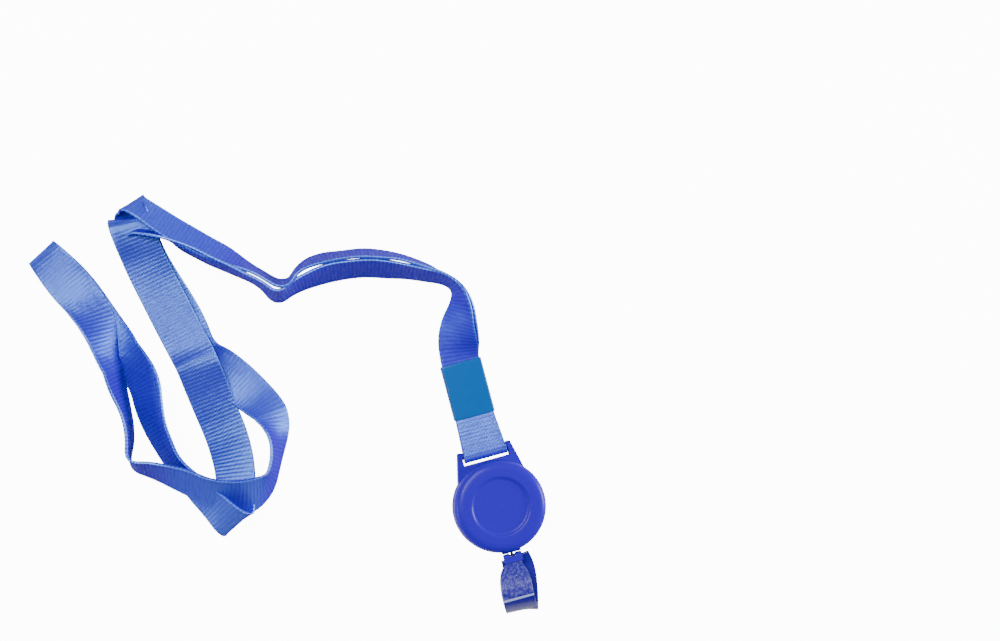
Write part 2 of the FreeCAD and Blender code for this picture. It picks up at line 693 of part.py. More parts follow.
def make_rear_cover():
    """Rear half of the case with the centre post, the ribbon slot, its ears and its bar."""
    cup = turned("rear_cup", [
        ("shank_bore", "head_seat"),
        ("head_bore", "head_seat"),
        ("head_bore", "0"),
        ("case_radius - 0.5", "0"),
        ("case_radius", "0.5"),
        ("case_radius", "split_height"),
        ("bore_radius", "split_height"),
        ("bore_radius", "rear_floor"),
        ("post_radius", "rear_floor"),
        ("post_radius", "post_top"),
        ("shank_bore", "post_top"),
    ])
    web = padded("rear_web", "XY_Plane", [[
        ("-lug_root / 2", "root_y"),
        ("lug_root / 2", "root_y"),
        ("ear_half", "ear_end"),
        ("-ear_half", "ear_end"),
    ]], "split_height")
    bore = cylinder("web_bore", "bore_radius + case_wall / 2", "split_height + 2", (0, 0, -1))
    window = block(
        "slot_window",
        ("slot_width", "ear_reach + bar_offset", "split_height + 2"),
        ("-slot_width / 2", "slot_near", -1),
    )
    frame = cut("slot_frame", web, [bore, window])
    bar = cylinder(
        "slot_bar", "bar_radius", "slot_width + ear_wall",
        ("-(slot_width + ear_wall) / 2", "bar_offset", "bar_height"), (1, 0, 0),
    )
    solid = fused("rear_solid", [cup, frame, bar])
    slit = block(
        "spring_slit",
        ("post_radius + 1", "slit_width", "post_top"),
        ("0", "-slit_width / 2", "groove_low"),
    )
    notch = cylinder(
        "rear_notch", "eyelet_hole", "case_radius", (0, "-case_radius * 0.6", "split_height"), (0, -1, 0),
    )
    return finish_node(cut("rear_cover", solid, [slit, notch]), "rear_cover")


def make_front_cover():
    """Front half of the case with the round recess, the lip and the boss over the post."""
    shell = turned("front_shell", [
        ("0", "thread_top"),
        ("thread_bore", "thread_top"),
        ("thread_bore", "boss_low"),
        ("boss_radius", "boss_low"),
        ("boss_radius", "roof_under"),
        ("lip_inner", "roof_under"),
        ("lip_inner", "split_height - lip_depth"),
        ("lip_outer", "split_height - lip_depth"),
        ("lip_outer", "split_height"),
        ("front_radius", "split_height"),
        ("front_radius", "case_height - front_round", "front_round", 1),
        ("front_radius - front_round", "case_height"),
        ("recess_radius", "case_height"),
        ("recess_radius - recess_bevel", "recess_floor"),
        ("0", "recess_floor"),
    ])
    notch = cylinder(
        "front_notch", "eyelet_hole", "case_radius", (0, "-case_radius * 0.6", "split_height"), (0, -1, 0),
    )
    return finish_node(cut("front_cover", shell, [notch]), "front_cover")


def make_centre_screw():
    """The screw from the back face through the post into the front cover."""
    head = cylinder("screw_head", "head_radius", "head_height", (0, 0, "head_sink"))
    shank = cylinder(
        "screw_shank", "shank_radius", "screw_top - head_sink - head_height / 2",
        (0, 0, "head_sink + head_height / 2"),
    )
    blank = fused("screw_blank", [head, shank])
    drives = [
        block(
            f"drive_{index}",
            (long_side, wide_side, "drive_depth"),
            (f"-({long_side}) / 2", f"-({wide_side}) / 2", "head_sink"),
        )
        for index, (long_side, wide_side) in enumerate((
            ("head_radius * 1.3", "drive_width"),
            ("drive_width", "head_radius * 1.3"),
        ))
    ]
    return finish_node(cut("centre_screw", blank, drives), "centre_screw")


def make_spool():
    """The spool: two flanges, the drum and the spring's well."""
    wheel = turned("spool_wheel", [
        ("hub_bore", "spool_low"),
        ("flange_radius", "spool_low"),
        ("flange_radius", "groove_low"),
        ("drum_radius", "groove_low"),
        ("drum_radius", "groove_top"),
        ("flange_radius", "groove_top"),
        ("flange_radius", "spool_top"),
        ("ledge_radius", "spool_top"),
        ("ledge_radius", "groove_top"),
        ("well_radius", "groove_top"),
        ("well_radius", "groove_low"),
        ("hub_bore", "groove_low"),
    ])
    hole = cylinder(
        "anchor_hole", "cord_radius + run_gap", "flange_thick * 2",
        ("knot_ring", 0, "groove_top - flange_thick / 2"),
    )
    return finish_node(cut("spool", wheel, [hole]), "spool")


def make_spring_cover():
    """The disc that keeps the power spring in its well."""
    disc = cylinder("cover_disc", "ledge_radius - run_gap", "flange_thick", (0, 0, "groove_top"))
    bore = cylinder("cover_bore", "hub_bore", "flange_thick * 2", (0, 0, "groove_top - flange_thick / 2"))
    return finish_node(cut("spring_cover", disc, [bore]), "spring_cover")


def make_power_spring():
    """The spiral power spring, as half turns whose radius grows, and its tail in the post."""
    half_strip = size("spring_strip") / 2
    start = size("post_radius") + size("spring_gap") + half_strip
    room = size("well_radius") - size("spring_gap") - half_strip
    count = SPRING_TURNS * 2
    growth = (room - start) / (count + 1)
    low = size("groove_low") + size("spring_gap")
    high = size("groove_top") - size("spring_gap")
    tail = size("shank_bore") + 0.25
    chain = []
    hub = -growth / 2
    for index in range(count):
        chain.append((hub, start + growth * (index + 0.5)))
        hub = -hub

    def arc(centre, radius, index):
        """Half turn number index about (centre, 0), anticlockwise."""
        side = 1 if index % 2 == 0 else -1
        first = VEC(centre + side * radius, 0, low)
        return Part.Arc(first, VEC(centre, side * radius, low), VEC(centre - side * radius, 0, low))

    def side_arcs(offset):
        """Every half turn's edge at an offset from the strip's middle."""
        return [arc(centre, radius + offset, i).toShape() for i, (centre, radius) in enumerate(chain)]

    outer = side_arcs(half_strip)
    inner = side_arcs(-half_strip)
    first_outer = outer[0].valueAt(outer[0].FirstParameter)
    first_inner = inner[0].valueAt(inner[0].FirstParameter)
    last_outer = outer[-1].valueAt(outer[-1].LastParameter)
    last_inner = inner[-1].valueAt(inner[-1].LastParameter)
    caps = [Part.makeLine(first_outer, first_inner), Part.makeLine(last_outer, last_inner)]
    wire = Part.Wire(Part.__sortEdges__(outer + inner + caps))
    spiral = Part.Face(wire).extrude(VEC(0, 0, high - low))
    reach = first_outer.x - tail
    leg = Part.makeBox(reach, half_strip * 2, high - low, VEC(tail, -half_strip, low))
    made = DOC.addObject("Part::Feature", "power_spring")
    made.Shape = spiral.fuse(leg).removeSplitter()
    made.Placement = FreeCAD.Placement()
    return finish_node(made, "power_spring")


def make_wound_cord():
    """The cord as it lies wound on the drum."""
    height = "groove_top - groove_low - 2 * coil_gap"
    ring = cylinder("coil_outer", "coil_radius", height, (0, 0, "groove_low + coil_gap"))
    bore = cylinder("coil_bore", "drum_radius + run_gap", f"{height} + 2", (0, 0, "groove_low + coil_gap - 1"))
    return finish_node(cut("wound_cord", ring, [bore]), "wound_cord")


def make_anchor_knot():
    """The knot that holds the cord's inner end above the spool's flange."""
    stub = cylinder(
        "knot_stub", "cord_radius", "flange_thick + coil_gap + knot_radius - run_gap",
        ("knot_ring", 0, "groove_top - coil_gap + run_gap"),
    )
    knot = ball("knot_ball", "knot_radius", ("knot_ring", 0, "spool_top + run_gap + knot_radius"))
    return finish_node(fused("anchor_knot", [stub, knot]), "anchor_knot")


def make_cord_lead():
    """The cord from the coil round a bend to the eyelet's mouth."""
    height = size("split_height")
    start = VEC(size("lead_x"), -size("lead_y"), height)
    corner = VEC(0, -size("bend_y"), height)
    end = VEC(0, -size("eyelet_end") - 0.25, height)
    slant = VEC(corner - start).normalize()
    out = VEC(end - corner).normalize()
    reach = size("bend_reach")
    bend = reach / math.tan(slant.getAngle(out) / 2)
    centre = corner - slant * reach + VEC(out - slant * out.dot(slant)).normalize() * bend
    middle = centre + VEC(corner - centre).normalize() * bend
    first = corner - slant * reach
    last = corner + out * reach
    line = Part.Wire([
        Part.makeLine(start, first),
        Part.Arc(first, middle, last).toShape(),
        Part.makeLine(last, end),
    ])
    radius = size("cord_radius")
    section = Part.Wire([Part.makeCircle(radius, start, slant)])
    made = DOC.addObject("Part::Feature", "cord_lead")
    made.Shape = line.makePipeShell([section], True, False)
    expected = math.pi * radius**2 * line.Length
    print(f"cord_lead: length {line.Length:.2f}, bend radius {bend:.2f}, cord radius {radius:.2f}, "
          f"volume {made.Shape.Volume:.3f}, section x length {expected:.3f}")
    return finish_node(made, "cord_lead")


def make_exit_eyelet():
    """The eyelet the cord leaves the case through."""
    mouth = "eyelet_end - flange_plate"
    tube = cylinder(
        "eyelet_tube", "eyelet_radius", f"{mouth} - lip_inner", (0, "-lip_inner", "split_height"), (0, -1, 0),
    )
    plate = cylinder(
        "eyelet_plate", "eyelet_flange", "flange_plate", (0, f"-({mouth})", "split_height"), (0, -1, 0),
    )
    bore = cylinder(
        "eyelet_bore_tool", "eyelet_bore", "case_radius", (0, "-case_radius * 0.6", "split_height"), (0, -1, 0),
    )
    solid = fused("eyelet_solid", [tube, plate])
    return finish_node(cut("exit_eyelet", solid, [bore]), "exit_eyelet")


def make_cord_stop():
    """The stop crimped on the cord's end: a neck and a barrel round the pivot pin."""
    barrel = cylinder(
        "stop_barrel", "barrel_radius", "barrel_width",
        ("-barrel_width / 2", "-pivot_offset", "split_height"), (1, 0, 0),
    )
    neck = cylinder(
        "stop_neck", "neck_radius", "clamp_radius - 0.1", (0, "-pivot_offset", "split_height"), (0, 1, 0),
    )
    bore = cylinder(
        "stop_bore", "pin_radius + run_gap", "barrel_width * 2",
        ("-barrel_width", "-pivot_offset", "split_height"), (1, 0, 0),
    )
    solid = fused("stop_solid", [barrel, neck])
    return finish_node(cut("cord_stop", solid, [bore]), "cord_stop")


def make_strap_clamp():
    """The clamp: a round ribbed nose split for the cord stop, and jaws over the strap."""
    nose = cylinder(
        "clamp_nose", "clamp_radius", "clamp_width",
        ("-clamp_width / 2", "-pivot_offset", "split_height"), (1, 0, 0),
    )
    jaws = block(
        "clamp_jaws",
        ("clamp_width", "clamp_reach", "clamp_radius * 2"),
        ("-clamp_width / 2", "-clamp_end", "split_height - clamp_radius"),
    )
    solid = fused("clamp_solid", [nose, jaws])
    room = "barrel_width + 2 * side_gap"
    throat = block(
        "clamp_throat",
        (room, "clamp_radius + 1", "clamp_radius * 2 + 2"),
        (f"-({room}) / 2", "-pivot_offset", "split_height - clamp_radius - 1"),
    )
    well = cylinder(
        "clamp_well", "barrel_radius + side_gap", room,
        (f"-({room}) / 2", "-pivot_offset", "split_height"), (1, 0, 0),
    )
    pin_hole = cylinder(
        "clamp_pin_hole", "pin_radius + 0.03", "clamp_width * 2",
        ("-clamp_width", "-pivot_offset", "split_height"), (1, 0, 0),
    )
    pocket = block(
        "clamp_pocket",
        ("strap_neck + 0.8", "jaw_depth + 1", "strap_thick + 0.3"),
        ("-(strap_neck + 0.8) / 2", "-clamp_end - 1", "split_height - strap_thick / 2 - 0.15"),
    )
    return finish_node(cut("strap_clamp", solid, [throat, well, pin_hole, pocket]), "strap_clamp")


def make_pivot_pin():
    """The pin through the clamp's cheeks and the cord stop."""
    length = "clamp_width - 0.2"
    pin = cylinder(
        "pivot_pin", "pin_radius", length, (f"-({length}) / 2", "-pivot_offset", "split_height"), (1, 0, 0),
    )
    return finish_node(pin, "pivot_pin")


def check_tree():
    """Stops the build if any object failed or any piece's solid is not sound."""
    for item in DOC.Objects:
        if {"Invalid", "Error"} & set(item.State):
            raise RuntimeError(f"{item.Name}: {item.State}")
    for item in NODES:
        shape = item.Shape
        if shape.isNull() or not shape.isValid() or len(shape.Solids) != 1:
            raise RuntimeError(f"{item.Label}: {len(shape.Solids)} solids, valid {shape.isValid()}")


def main():
    """Builds every piece, checks it and writes one file each."""
    fill_sheet()
    make_rear_cover()
    make_front_cover()
    make_centre_screw()
    make_spool()
    make_spring_cover()
    make_power_spring()
    make_wound_cord()
    make_anchor_knot()
    make_cord_lead()
    make_exit_eyelet()
    make_cord_stop()
    make_strap_clamp()
    make_pivot_pin()
    make_end_strap()
    make_crimp_sleeve()
    make_slot_loop()
    make_lanyard_ribbon()
    DOC.recompute()
    check_tree()
    os.makedirs("parts", exist_ok=True)
    for item in NODES:
        item.Shape.exportStep(f"parts/{item.Label}.step")
        box = item.Shape.BoundBox
        print(f"{item.Label}: {item.Shape.Volume:.1f} mm3, z {box.ZMin:.2f} to {box.ZMax:.2f}")


main()
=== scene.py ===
"""Looks of a lanyard badge holder: neck ribbon, crimp sleeve, retracting reel and strap loop.

Metres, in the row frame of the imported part: the origin is the centre of the reel's back face,
+Y runs through the ribbon slot to the sleeve and +Z out of the front cover.
"""

import json
import logging
import math
from collections.abc import Callable
from dataclasses import dataclass
from enum import Enum

import bpy
import numpy as np
from mathutils import Matrix, Vector

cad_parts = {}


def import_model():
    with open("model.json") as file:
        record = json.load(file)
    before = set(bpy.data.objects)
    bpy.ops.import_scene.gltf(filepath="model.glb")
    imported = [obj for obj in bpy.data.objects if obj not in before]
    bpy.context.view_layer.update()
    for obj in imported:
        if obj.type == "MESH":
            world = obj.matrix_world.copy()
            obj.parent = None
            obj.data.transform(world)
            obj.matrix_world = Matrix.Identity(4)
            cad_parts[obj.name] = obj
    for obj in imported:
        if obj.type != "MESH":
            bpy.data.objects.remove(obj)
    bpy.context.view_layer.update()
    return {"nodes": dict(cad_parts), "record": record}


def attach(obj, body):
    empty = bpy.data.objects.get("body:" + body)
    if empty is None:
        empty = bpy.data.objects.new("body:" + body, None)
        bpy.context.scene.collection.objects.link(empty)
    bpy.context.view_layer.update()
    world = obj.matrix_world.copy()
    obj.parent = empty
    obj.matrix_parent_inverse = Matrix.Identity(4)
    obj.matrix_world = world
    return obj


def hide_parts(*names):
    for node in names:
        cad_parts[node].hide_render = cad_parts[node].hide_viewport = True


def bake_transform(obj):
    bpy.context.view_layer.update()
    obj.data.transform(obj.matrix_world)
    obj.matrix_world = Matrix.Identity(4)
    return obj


LOG = logging.getLogger("lanyard")
WEAVE_UV = "weave"
MM = 0.001

# How much higher the woven edge stands than the ribbon's face, as a share of half its thickness.
EDGE_BEAD = 0.15
# Inside this radius a profile counts as meeting the axis it is turned about.
ON_AXIS = 0.1 * MM

# The neck ribbon's route: x, y, z, then the bearing and slope in degrees of the line across it.
NECK_ROUTE = (
    (0.0, 0.0435, 0.00205, 0, 0),
    (0.0, 0.0492, 0.00205, 0, 0),
    (0.0001, 0.0538, 0.00215, -2, 1),
    (0.0012, 0.0615, 0.0049, -12, 36),
    (0.0052, 0.071, 0.0076, -20, 70),
    (0.0046, 0.0786, 0.0079, 40, 84),
    (-0.008, 0.0852, 0.0076, 88, 75),
    (-0.022, 0.0906, 0.0073, 83, 70),
    (-0.037, 0.0926, 0.0073, 80, 70),
    (-0.048, 0.091, 0.0074, 76, 73),
    (-0.0555, 0.0875, 0.0076, 60, 78),
    (-0.06, 0.095, 0.0078, 40, 86),
    (-0.068, 0.1016, 0.0078, 30, 86),
    (-0.078, 0.1095, 0.0082, 30, 80),
    (-0.088, 0.1185, 0.0079, 150, 56),
    (-0.0956, 0.1266, 0.0043, 180, 13),
    (-0.0972, 0.1269, 0.0089, 180, 6),
    (-0.0964, 0.1195, 0.0086, 163, 6),
    (-0.095, 0.1095, 0.0054, 163, 3),
    (-0.0925, 0.098, 0.0056, 165, 0),
    (-0.09, 0.0865, 0.0072, 166, 0),
    (-0.0873, 0.0755, 0.0096, 170, 0),
    (-0.0862, 0.0665, 0.0064, 170, 0),
    (-0.0848, 0.056, 0.0042, 167, -4),
    (-0.0833, 0.0455, 0.0038, 168, -12),
    (-0.0838, 0.0345, 0.0039, 175, -20),
    (-0.0863, 0.025, 0.0045, 192, -28),
    (-0.0864, 0.0176, 0.0056, 208, -35),
    (-0.0893, 0.0179, 0.009, 208, -38),
    (-0.095, 0.0285, 0.0084, 208, -52),
    (-0.103, 0.042, 0.0076, 205, -67),
    (-0.1054, 0.0525, 0.0072, 190, -62),
    (-0.1063, 0.0625, 0.0063, 184, -48),
    (-0.1054, 0.0725, 0.0058, 186, -42),
    (-0.1098, 0.083, 0.0045, 200, -28),
    (-0.1156, 0.0968, 0.003, 204, -15),
    (-0.121, 0.1105, 0.0021, 206, -6),
    (-0.1273, 0.1226, 0.0019, 209, -2),
    (-0.128, 0.1232, 0.0076, 209, 0),
    (-0.1223, 0.112, 0.0086, 200, 10),
    (-0.1168, 0.1013, 0.0092, 190, 24),
    (-0.115, 0.0905, 0.0106, 182, 50),
    (-0.1148, 0.0785, 0.0093, 175, 66),
    (-0.114, 0.0665, 0.0078, 178, 78),
    (-0.1142, 0.0565, 0.0078, 175, 85),
    (-0.118, 0.0465, 0.0078, 80, 82),
    (-0.11, 0.0425, 0.0083, 55, 68),
    (-0.1005, 0.036, 0.0108, 80, 52),
    (-0.092, 0.029, 0.013, 97, 36),
    (-0.0825, 0.0253, 0.0126, 98, 38),
    (-0.0742, 0.027, 0.0086, 95, 62),
    (-0.0696, 0.0348, 0.0078, 135, 78),
    (-0.0672, 0.042, 0.0074, 178, 67),
    (-0.0672, 0.0508, 0.0054, 188, 38),
    (-0.0722, 0.0596, 0.0034, 195, 18),
    (-0.0792, 0.0693, 0.0024, 200, 6),
    (-0.086, 0.0763, 0.0044, 192, -28),
    (-0.0874, 0.087, 0.0028, 193, -12),
    (-0.0908, 0.0985, 0.002, 196, -5),
    (-0.0945, 0.11, 0.0018, 194, -3),
    (-0.0964, 0.121, 0.0018, 192, -2),
    (-0.0954, 0.1313, 0.003, 196, 10),
    (-0.0942, 0.132, 0.01, 208, 42),
    (-0.0865, 0.1225, 0.0082, 228, 52),
    (-0.0765, 0.1133, 0.0076, 228, 55),
    (-0.068, 0.1058, 0.0076, 234, 64),
    (-0.0595, 0.0985, 0.0078, 245, 80),
    (-0.0518, 0.091, 0.0078, 251, 76),
    (-0.045, 0.097, 0.0078, 252, 74),
    (-0.0365, 0.0976, 0.0078, 251, 73),
    (-0.0225, 0.0962, 0.0078, 246, 75),
    (-0.009, 0.0903, 0.0078, 240, 77),
    (0.0036, 0.0812, 0.0079, 260, 86),
    (0.0062, 0.072, 0.0076, 335, 70),
    (0.0024, 0.0615, 0.0044, 348, 36),
    (0.0001, 0.0538, 0.0011, 358, 1),
    (0.0, 0.0492, 0.00105, 360, 0),
    (0.0, 0.0435, 0.00105, 360, 0),
)

# The slot loop's route round the bar, lower layer first: x, y, z, bearing, slope.
SLOT_ROUTE = (
    (0.0, 0.0429, 0.00105, 0, 0),
    (0.0, 0.0360, 0.00105, 0, 0),
    (0.0, 0.0290, 0.00105, 0, 0),
    (0.0, 0.0222, 0.00105, 0, 0),
    (0.0, 0.0180, 0.00100, 0, 0),
    (0.0, 0.0174, 0.0030, 0, 0),
    (0.0, 0.0178, 0.0052, 0, 0),
    (0.0, 0.0215, 0.0047, 0, 0),
    (0.0, 0.0265, 0.0033, 0, 0),
    (0.0, 0.0310, 0.00212, 0, 0),
    (0.0, 0.0370, 0.00205, 0, 0),
    (0.0, 0.0429, 0.00205, 0, 0),
)
SLOT_WIDTHS = (
    0.0136, 0.0136, 0.0140, 0.0147, 0.0152, 0.0152, 0.0152, 0.0149, 0.0143, 0.0137, 0.0136, 0.0136,
)

# The strap loop's route from the clamp round and back.
STRAP_ROUTE = (
    (0.0, -0.0195, 0.0044, -5, 0),
    (0.0, -0.0203, 0.0044, -5, 0),
    (-0.0005, -0.0216, 0.0054, -5, 0),
    (-0.0012, -0.0237, 0.0071, -5, 0),
    (-0.0018, -0.0267, 0.0084, -5, 0),
    (-0.0022, -0.0307, 0.009, -5, 0),
    (-0.002, -0.034, 0.0067, -5, 0),
    (-0.0015, -0.0364, 0.0031, -5, 0),
    (-0.0009, -0.0361, 0.0012, -5, 0),
    (0.0006, -0.03, 0.0011, -5, 0),
    (0.0015, -0.024, 0.00115, -5, 0),
    (0.0013, -0.0204, 0.0013, -5, 0),
    (0.0009, -0.0182, 0.0024, -5, 0),
)
STRAP_WIDTHS = (
    0.0054, 0.0054, 0.0077, 0.0101, 0.011, 0.011, 0.011, 0.011, 0.011, 0.011, 0.011, 0.0107, 0.0101,
)


class Body(str, Enum):
    """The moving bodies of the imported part."""

    LANYARD = "lanyard"
    REEL = "reel"
    SPOOL = "spool"
    CORD_END = "cord_end"
    STRAP = "strap"


class Slot(str, Enum):
    """The material slots of the record."""

    CASE = "blue_case"
    RIBBON = "ribbon_weave"
    SLEEVE = "sleeve_plastic"
    VINYL = "strap_vinyl"
    CLAMP = "dark_clamp"
    SPOOL = "white_spool"
    SPRING = "spring_steel"
    STEEL = "plated_steel"
    CORD = "cord_fibre"


def linear(colour: str) -> tuple[float, float, float, float]:
    """Turns an sRGB hex colour into linear light.

    Args:
        colour: Six hex digits after a hash.

    Returns:
        Red, green, blue and an alpha of one.
    """
    parts = [int(colour[i : i + 2], 16) / 255.0 for i in (1, 3, 5)]
    light = [c / 12.92 if c <= 0.04045 else ((c + 0.055) / 1.055) ** 2.4 for c in parts]
    return (*light, 1.0)


def add_node(
    tree: bpy.types.NodeTree, kind: str, inputs: dict | None = None, **settings: object
) -> bpy.types.Node:
    """Adds a node, sets it up and feeds its inputs.

    Args:
        tree: The node tree to add to.
        kind: The node's type name.
        inputs: Values or output sockets by input name or number.
        settings: Attributes of the node itself.

    Returns:
        The new node.
    """
    node = tree.nodes.new(kind)
    for name, value in settings.items():
        setattr(node, name, value)
    for key, value in (inputs or {}).items():
        if isinstance(value, bpy.types.NodeSocket):
            tree.links.new(value, node.inputs[key])
        else:
            node.inputs[key].default_value = value
    return node


def new_material(name: str) -> tuple[bpy.types.Material, bpy.types.NodeTree]:
    """Makes an empty node material.

    Args:
        name: What the material is.

    Returns:
        The material and its cleared node tree.
    """
    material = bpy.data.materials.new(name)
    material.use_nodes = True
    material.node_tree.nodes.clear()
    return material, material.node_tree


def close_material(tree: bpy.types.NodeTree, shader: bpy.types.Node) -> None:
    """Wires a shader to the material's output.

    Args:
        tree: The material's tree.
        shader: The node whose first output is shown.
    """
    add_node(tree, "ShaderNodeOutputMaterial", {"Surface": shader.outputs[0]})


def mixed(
    tree: bpy.types.NodeTree, factor: bpy.types.NodeSocket, first: str, second: str
) -> bpy.types.NodeSocket:
    """Mixes two colours.

    Args:
        tree: The material's tree.
        factor: How much of the second is shown.
        first: The colour at a factor of nought, in hex.
        second: The colour at a factor of one, in hex.

    Returns:
        The colour's socket.
    """
    mix = add_node(tree, "ShaderNodeMix", {0: factor}, data_type="RGBA")
    sockets = [socket for socket in mix.inputs if socket.type == "RGBA"]
    sockets[0].default_value = linear(first)
    sockets[1].default_value = linear(second)
    return next(socket for socket in mix.outputs if socket.type == "RGBA")


@dataclass(frozen=True)
class MouldedPlastic:
    """Injection-moulded plastic: even colour and a soft gloss with a faint ripple in it."""

    name: str
    colour: str
    roughness: float = 0.28
    ripple: float = 0.02
    ripple_size: float = 4.0 * MM
    coat: float = 0.0
    shine: float = 0.5

    def build(self) -> bpy.types.Material:
        """Makes the material.

        Returns:
            The finished material.
        """
        material, tree = new_material(self.name)
        place = add_node(tree, "ShaderNodeTexCoord")
        noise = add_node(
            tree,
            "ShaderNodeTexNoise",
            {"Vector": place.outputs["Object"], "Scale": 1.0 / self.ripple_size, "Detail": 2.0},
        )
        bump = add_node(
            tree,
            "ShaderNodeBump",
            {"Height": noise.outputs["Fac"], "Strength": self.ripple, "Distance": self.ripple_size},
        )
        shader = add_node(
            tree,
            "ShaderNodeBsdfPrincipled",
            {
                "Base Color": linear(self.colour),
                "Roughness": self.roughness,
                "Specular IOR Level": self.shine,
                "Coat Weight": self.coat,
                "Coat Roughness": self.roughness * 0.5,
                "Normal": bump.outputs["Normal"],
            },
        )
        close_material(tree, shader)
        return material


@dataclass(frozen=True)
class GrainedVinyl:
    """Glossy calendered vinyl: fine pebbled grain that breaks the highlight's edge.

    The lengths of the painted highlight along the fold and of the painted glints before it are in
    millimetres along the strap, as its UV map is.
    """

    name: str
    colour: str
    painted_highlight_colour: str
    fold_at: float
    fold_core: float = 0.25
    fold_edge: float = 0.5
    glint_end: float = -0.6
    glint_scale: float = 0.9
    glint_share: float = 0.36
    roughness: float = 0.3
    coat: float = 0.3
    coat_roughness: float = 0.15
    grain: float = 0.35
    grain_size: float = 0.45 * MM

    def build(self) -> bpy.types.Material:
        """Makes the material.

        Returns:
            The finished material.
        """
        material, tree = new_material(self.name)
        place = add_node(tree, "ShaderNodeTexCoord")
        pebbles = add_node(
            tree,
            "ShaderNodeTexVoronoi",
            {"Vector": place.outputs["Object"], "Scale": 1.0 / self.grain_size},
            feature="SMOOTH_F1",
        )
        bump = add_node(
            tree,
            "ShaderNodeBump",
            {
                "Height": pebbles.outputs["Distance"],
                "Strength": self.grain,
                "Distance": self.grain_size * 0.2,
            },
        )
        shader = add_node(
            tree,
            "ShaderNodeBsdfPrincipled",
            {
                "Base Color": self.painted_highlights(tree),
                "Roughness": self.roughness,
                "Normal": bump.outputs["Normal"],
                "Coat Weight": self.coat,
                "Coat Roughness": self.coat_roughness,
            },
        )
        close_material(tree, shader)
        return material

    def painted_highlights(self, tree: bpy.types.NodeTree) -> bpy.types.NodeSocket:
        """The colour with a painted highlight across the strap along its fold and painted glints
        before it.

        Args:
            tree: The material's tree.

        Returns:
            The colour's socket.
        """
        place = add_node(tree, "ShaderNodeUVMap", uv_map=WEAVE_UV)
        axes = add_node(tree, "ShaderNodeSeparateXYZ", {0: place.outputs["UV"]})
        off = add_node(
            tree, "ShaderNodeMath", {0: axes.outputs["X"], 1: self.fold_at}, operation="SUBTRACT"
        )
        away = add_node(tree, "ShaderNodeMath", {0: off.outputs[0]}, operation="ABSOLUTE")
        # Painted highlight: a pale band across the strap along the fold's ridge.
        fold = add_node(
            tree,
            "ShaderNodeMapRange",
            {
                "Value": away.outputs[0],
                "From Min": self.fold_core,
                "From Max": self.fold_edge,
                "To Min": 1.0,
                "To Max": 0.0,
            },
        )
        # Painted glints: pale noise patches on the face before the fold.
        glint_noise = add_node(
            tree,
            "ShaderNodeTexNoise",
            {
                "Vector": place.outputs["UV"],
                "Scale": self.glint_scale,
                "Detail": 6.0,
                "Roughness": 0.7,
            },
            noise_dimensions="2D",
        )
        patch = add_node(
            tree,
            "ShaderNodeMapRange",
            {
                "Value": glint_noise.outputs["Fac"],
                "From Min": 0.42,
                "From Max": 0.8,
                "To Max": self.glint_share,
            },
        )
        before = add_node(
            tree,
            "ShaderNodeMapRange",
            {
                "Value": off.outputs[0],
                "From Min": self.glint_end,
                "From Max": 0.0,
                "To Min": 1.0,
                "To Max": 0.0,
            },
        )
        painted_glints = add_node(
            tree,
            "ShaderNodeMath",
            {0: patch.outputs[0], 1: before.outputs[0]},
            operation="MULTIPLY",
        )
        most = add_node(
            tree, "ShaderNodeMath", {0: painted_glints.outputs[0], 1: fold.outputs[0]}, operation="MAXIMUM"
        )
        return mixed(tree, most.outputs[0], self.colour, self.painted_highlight_colour)


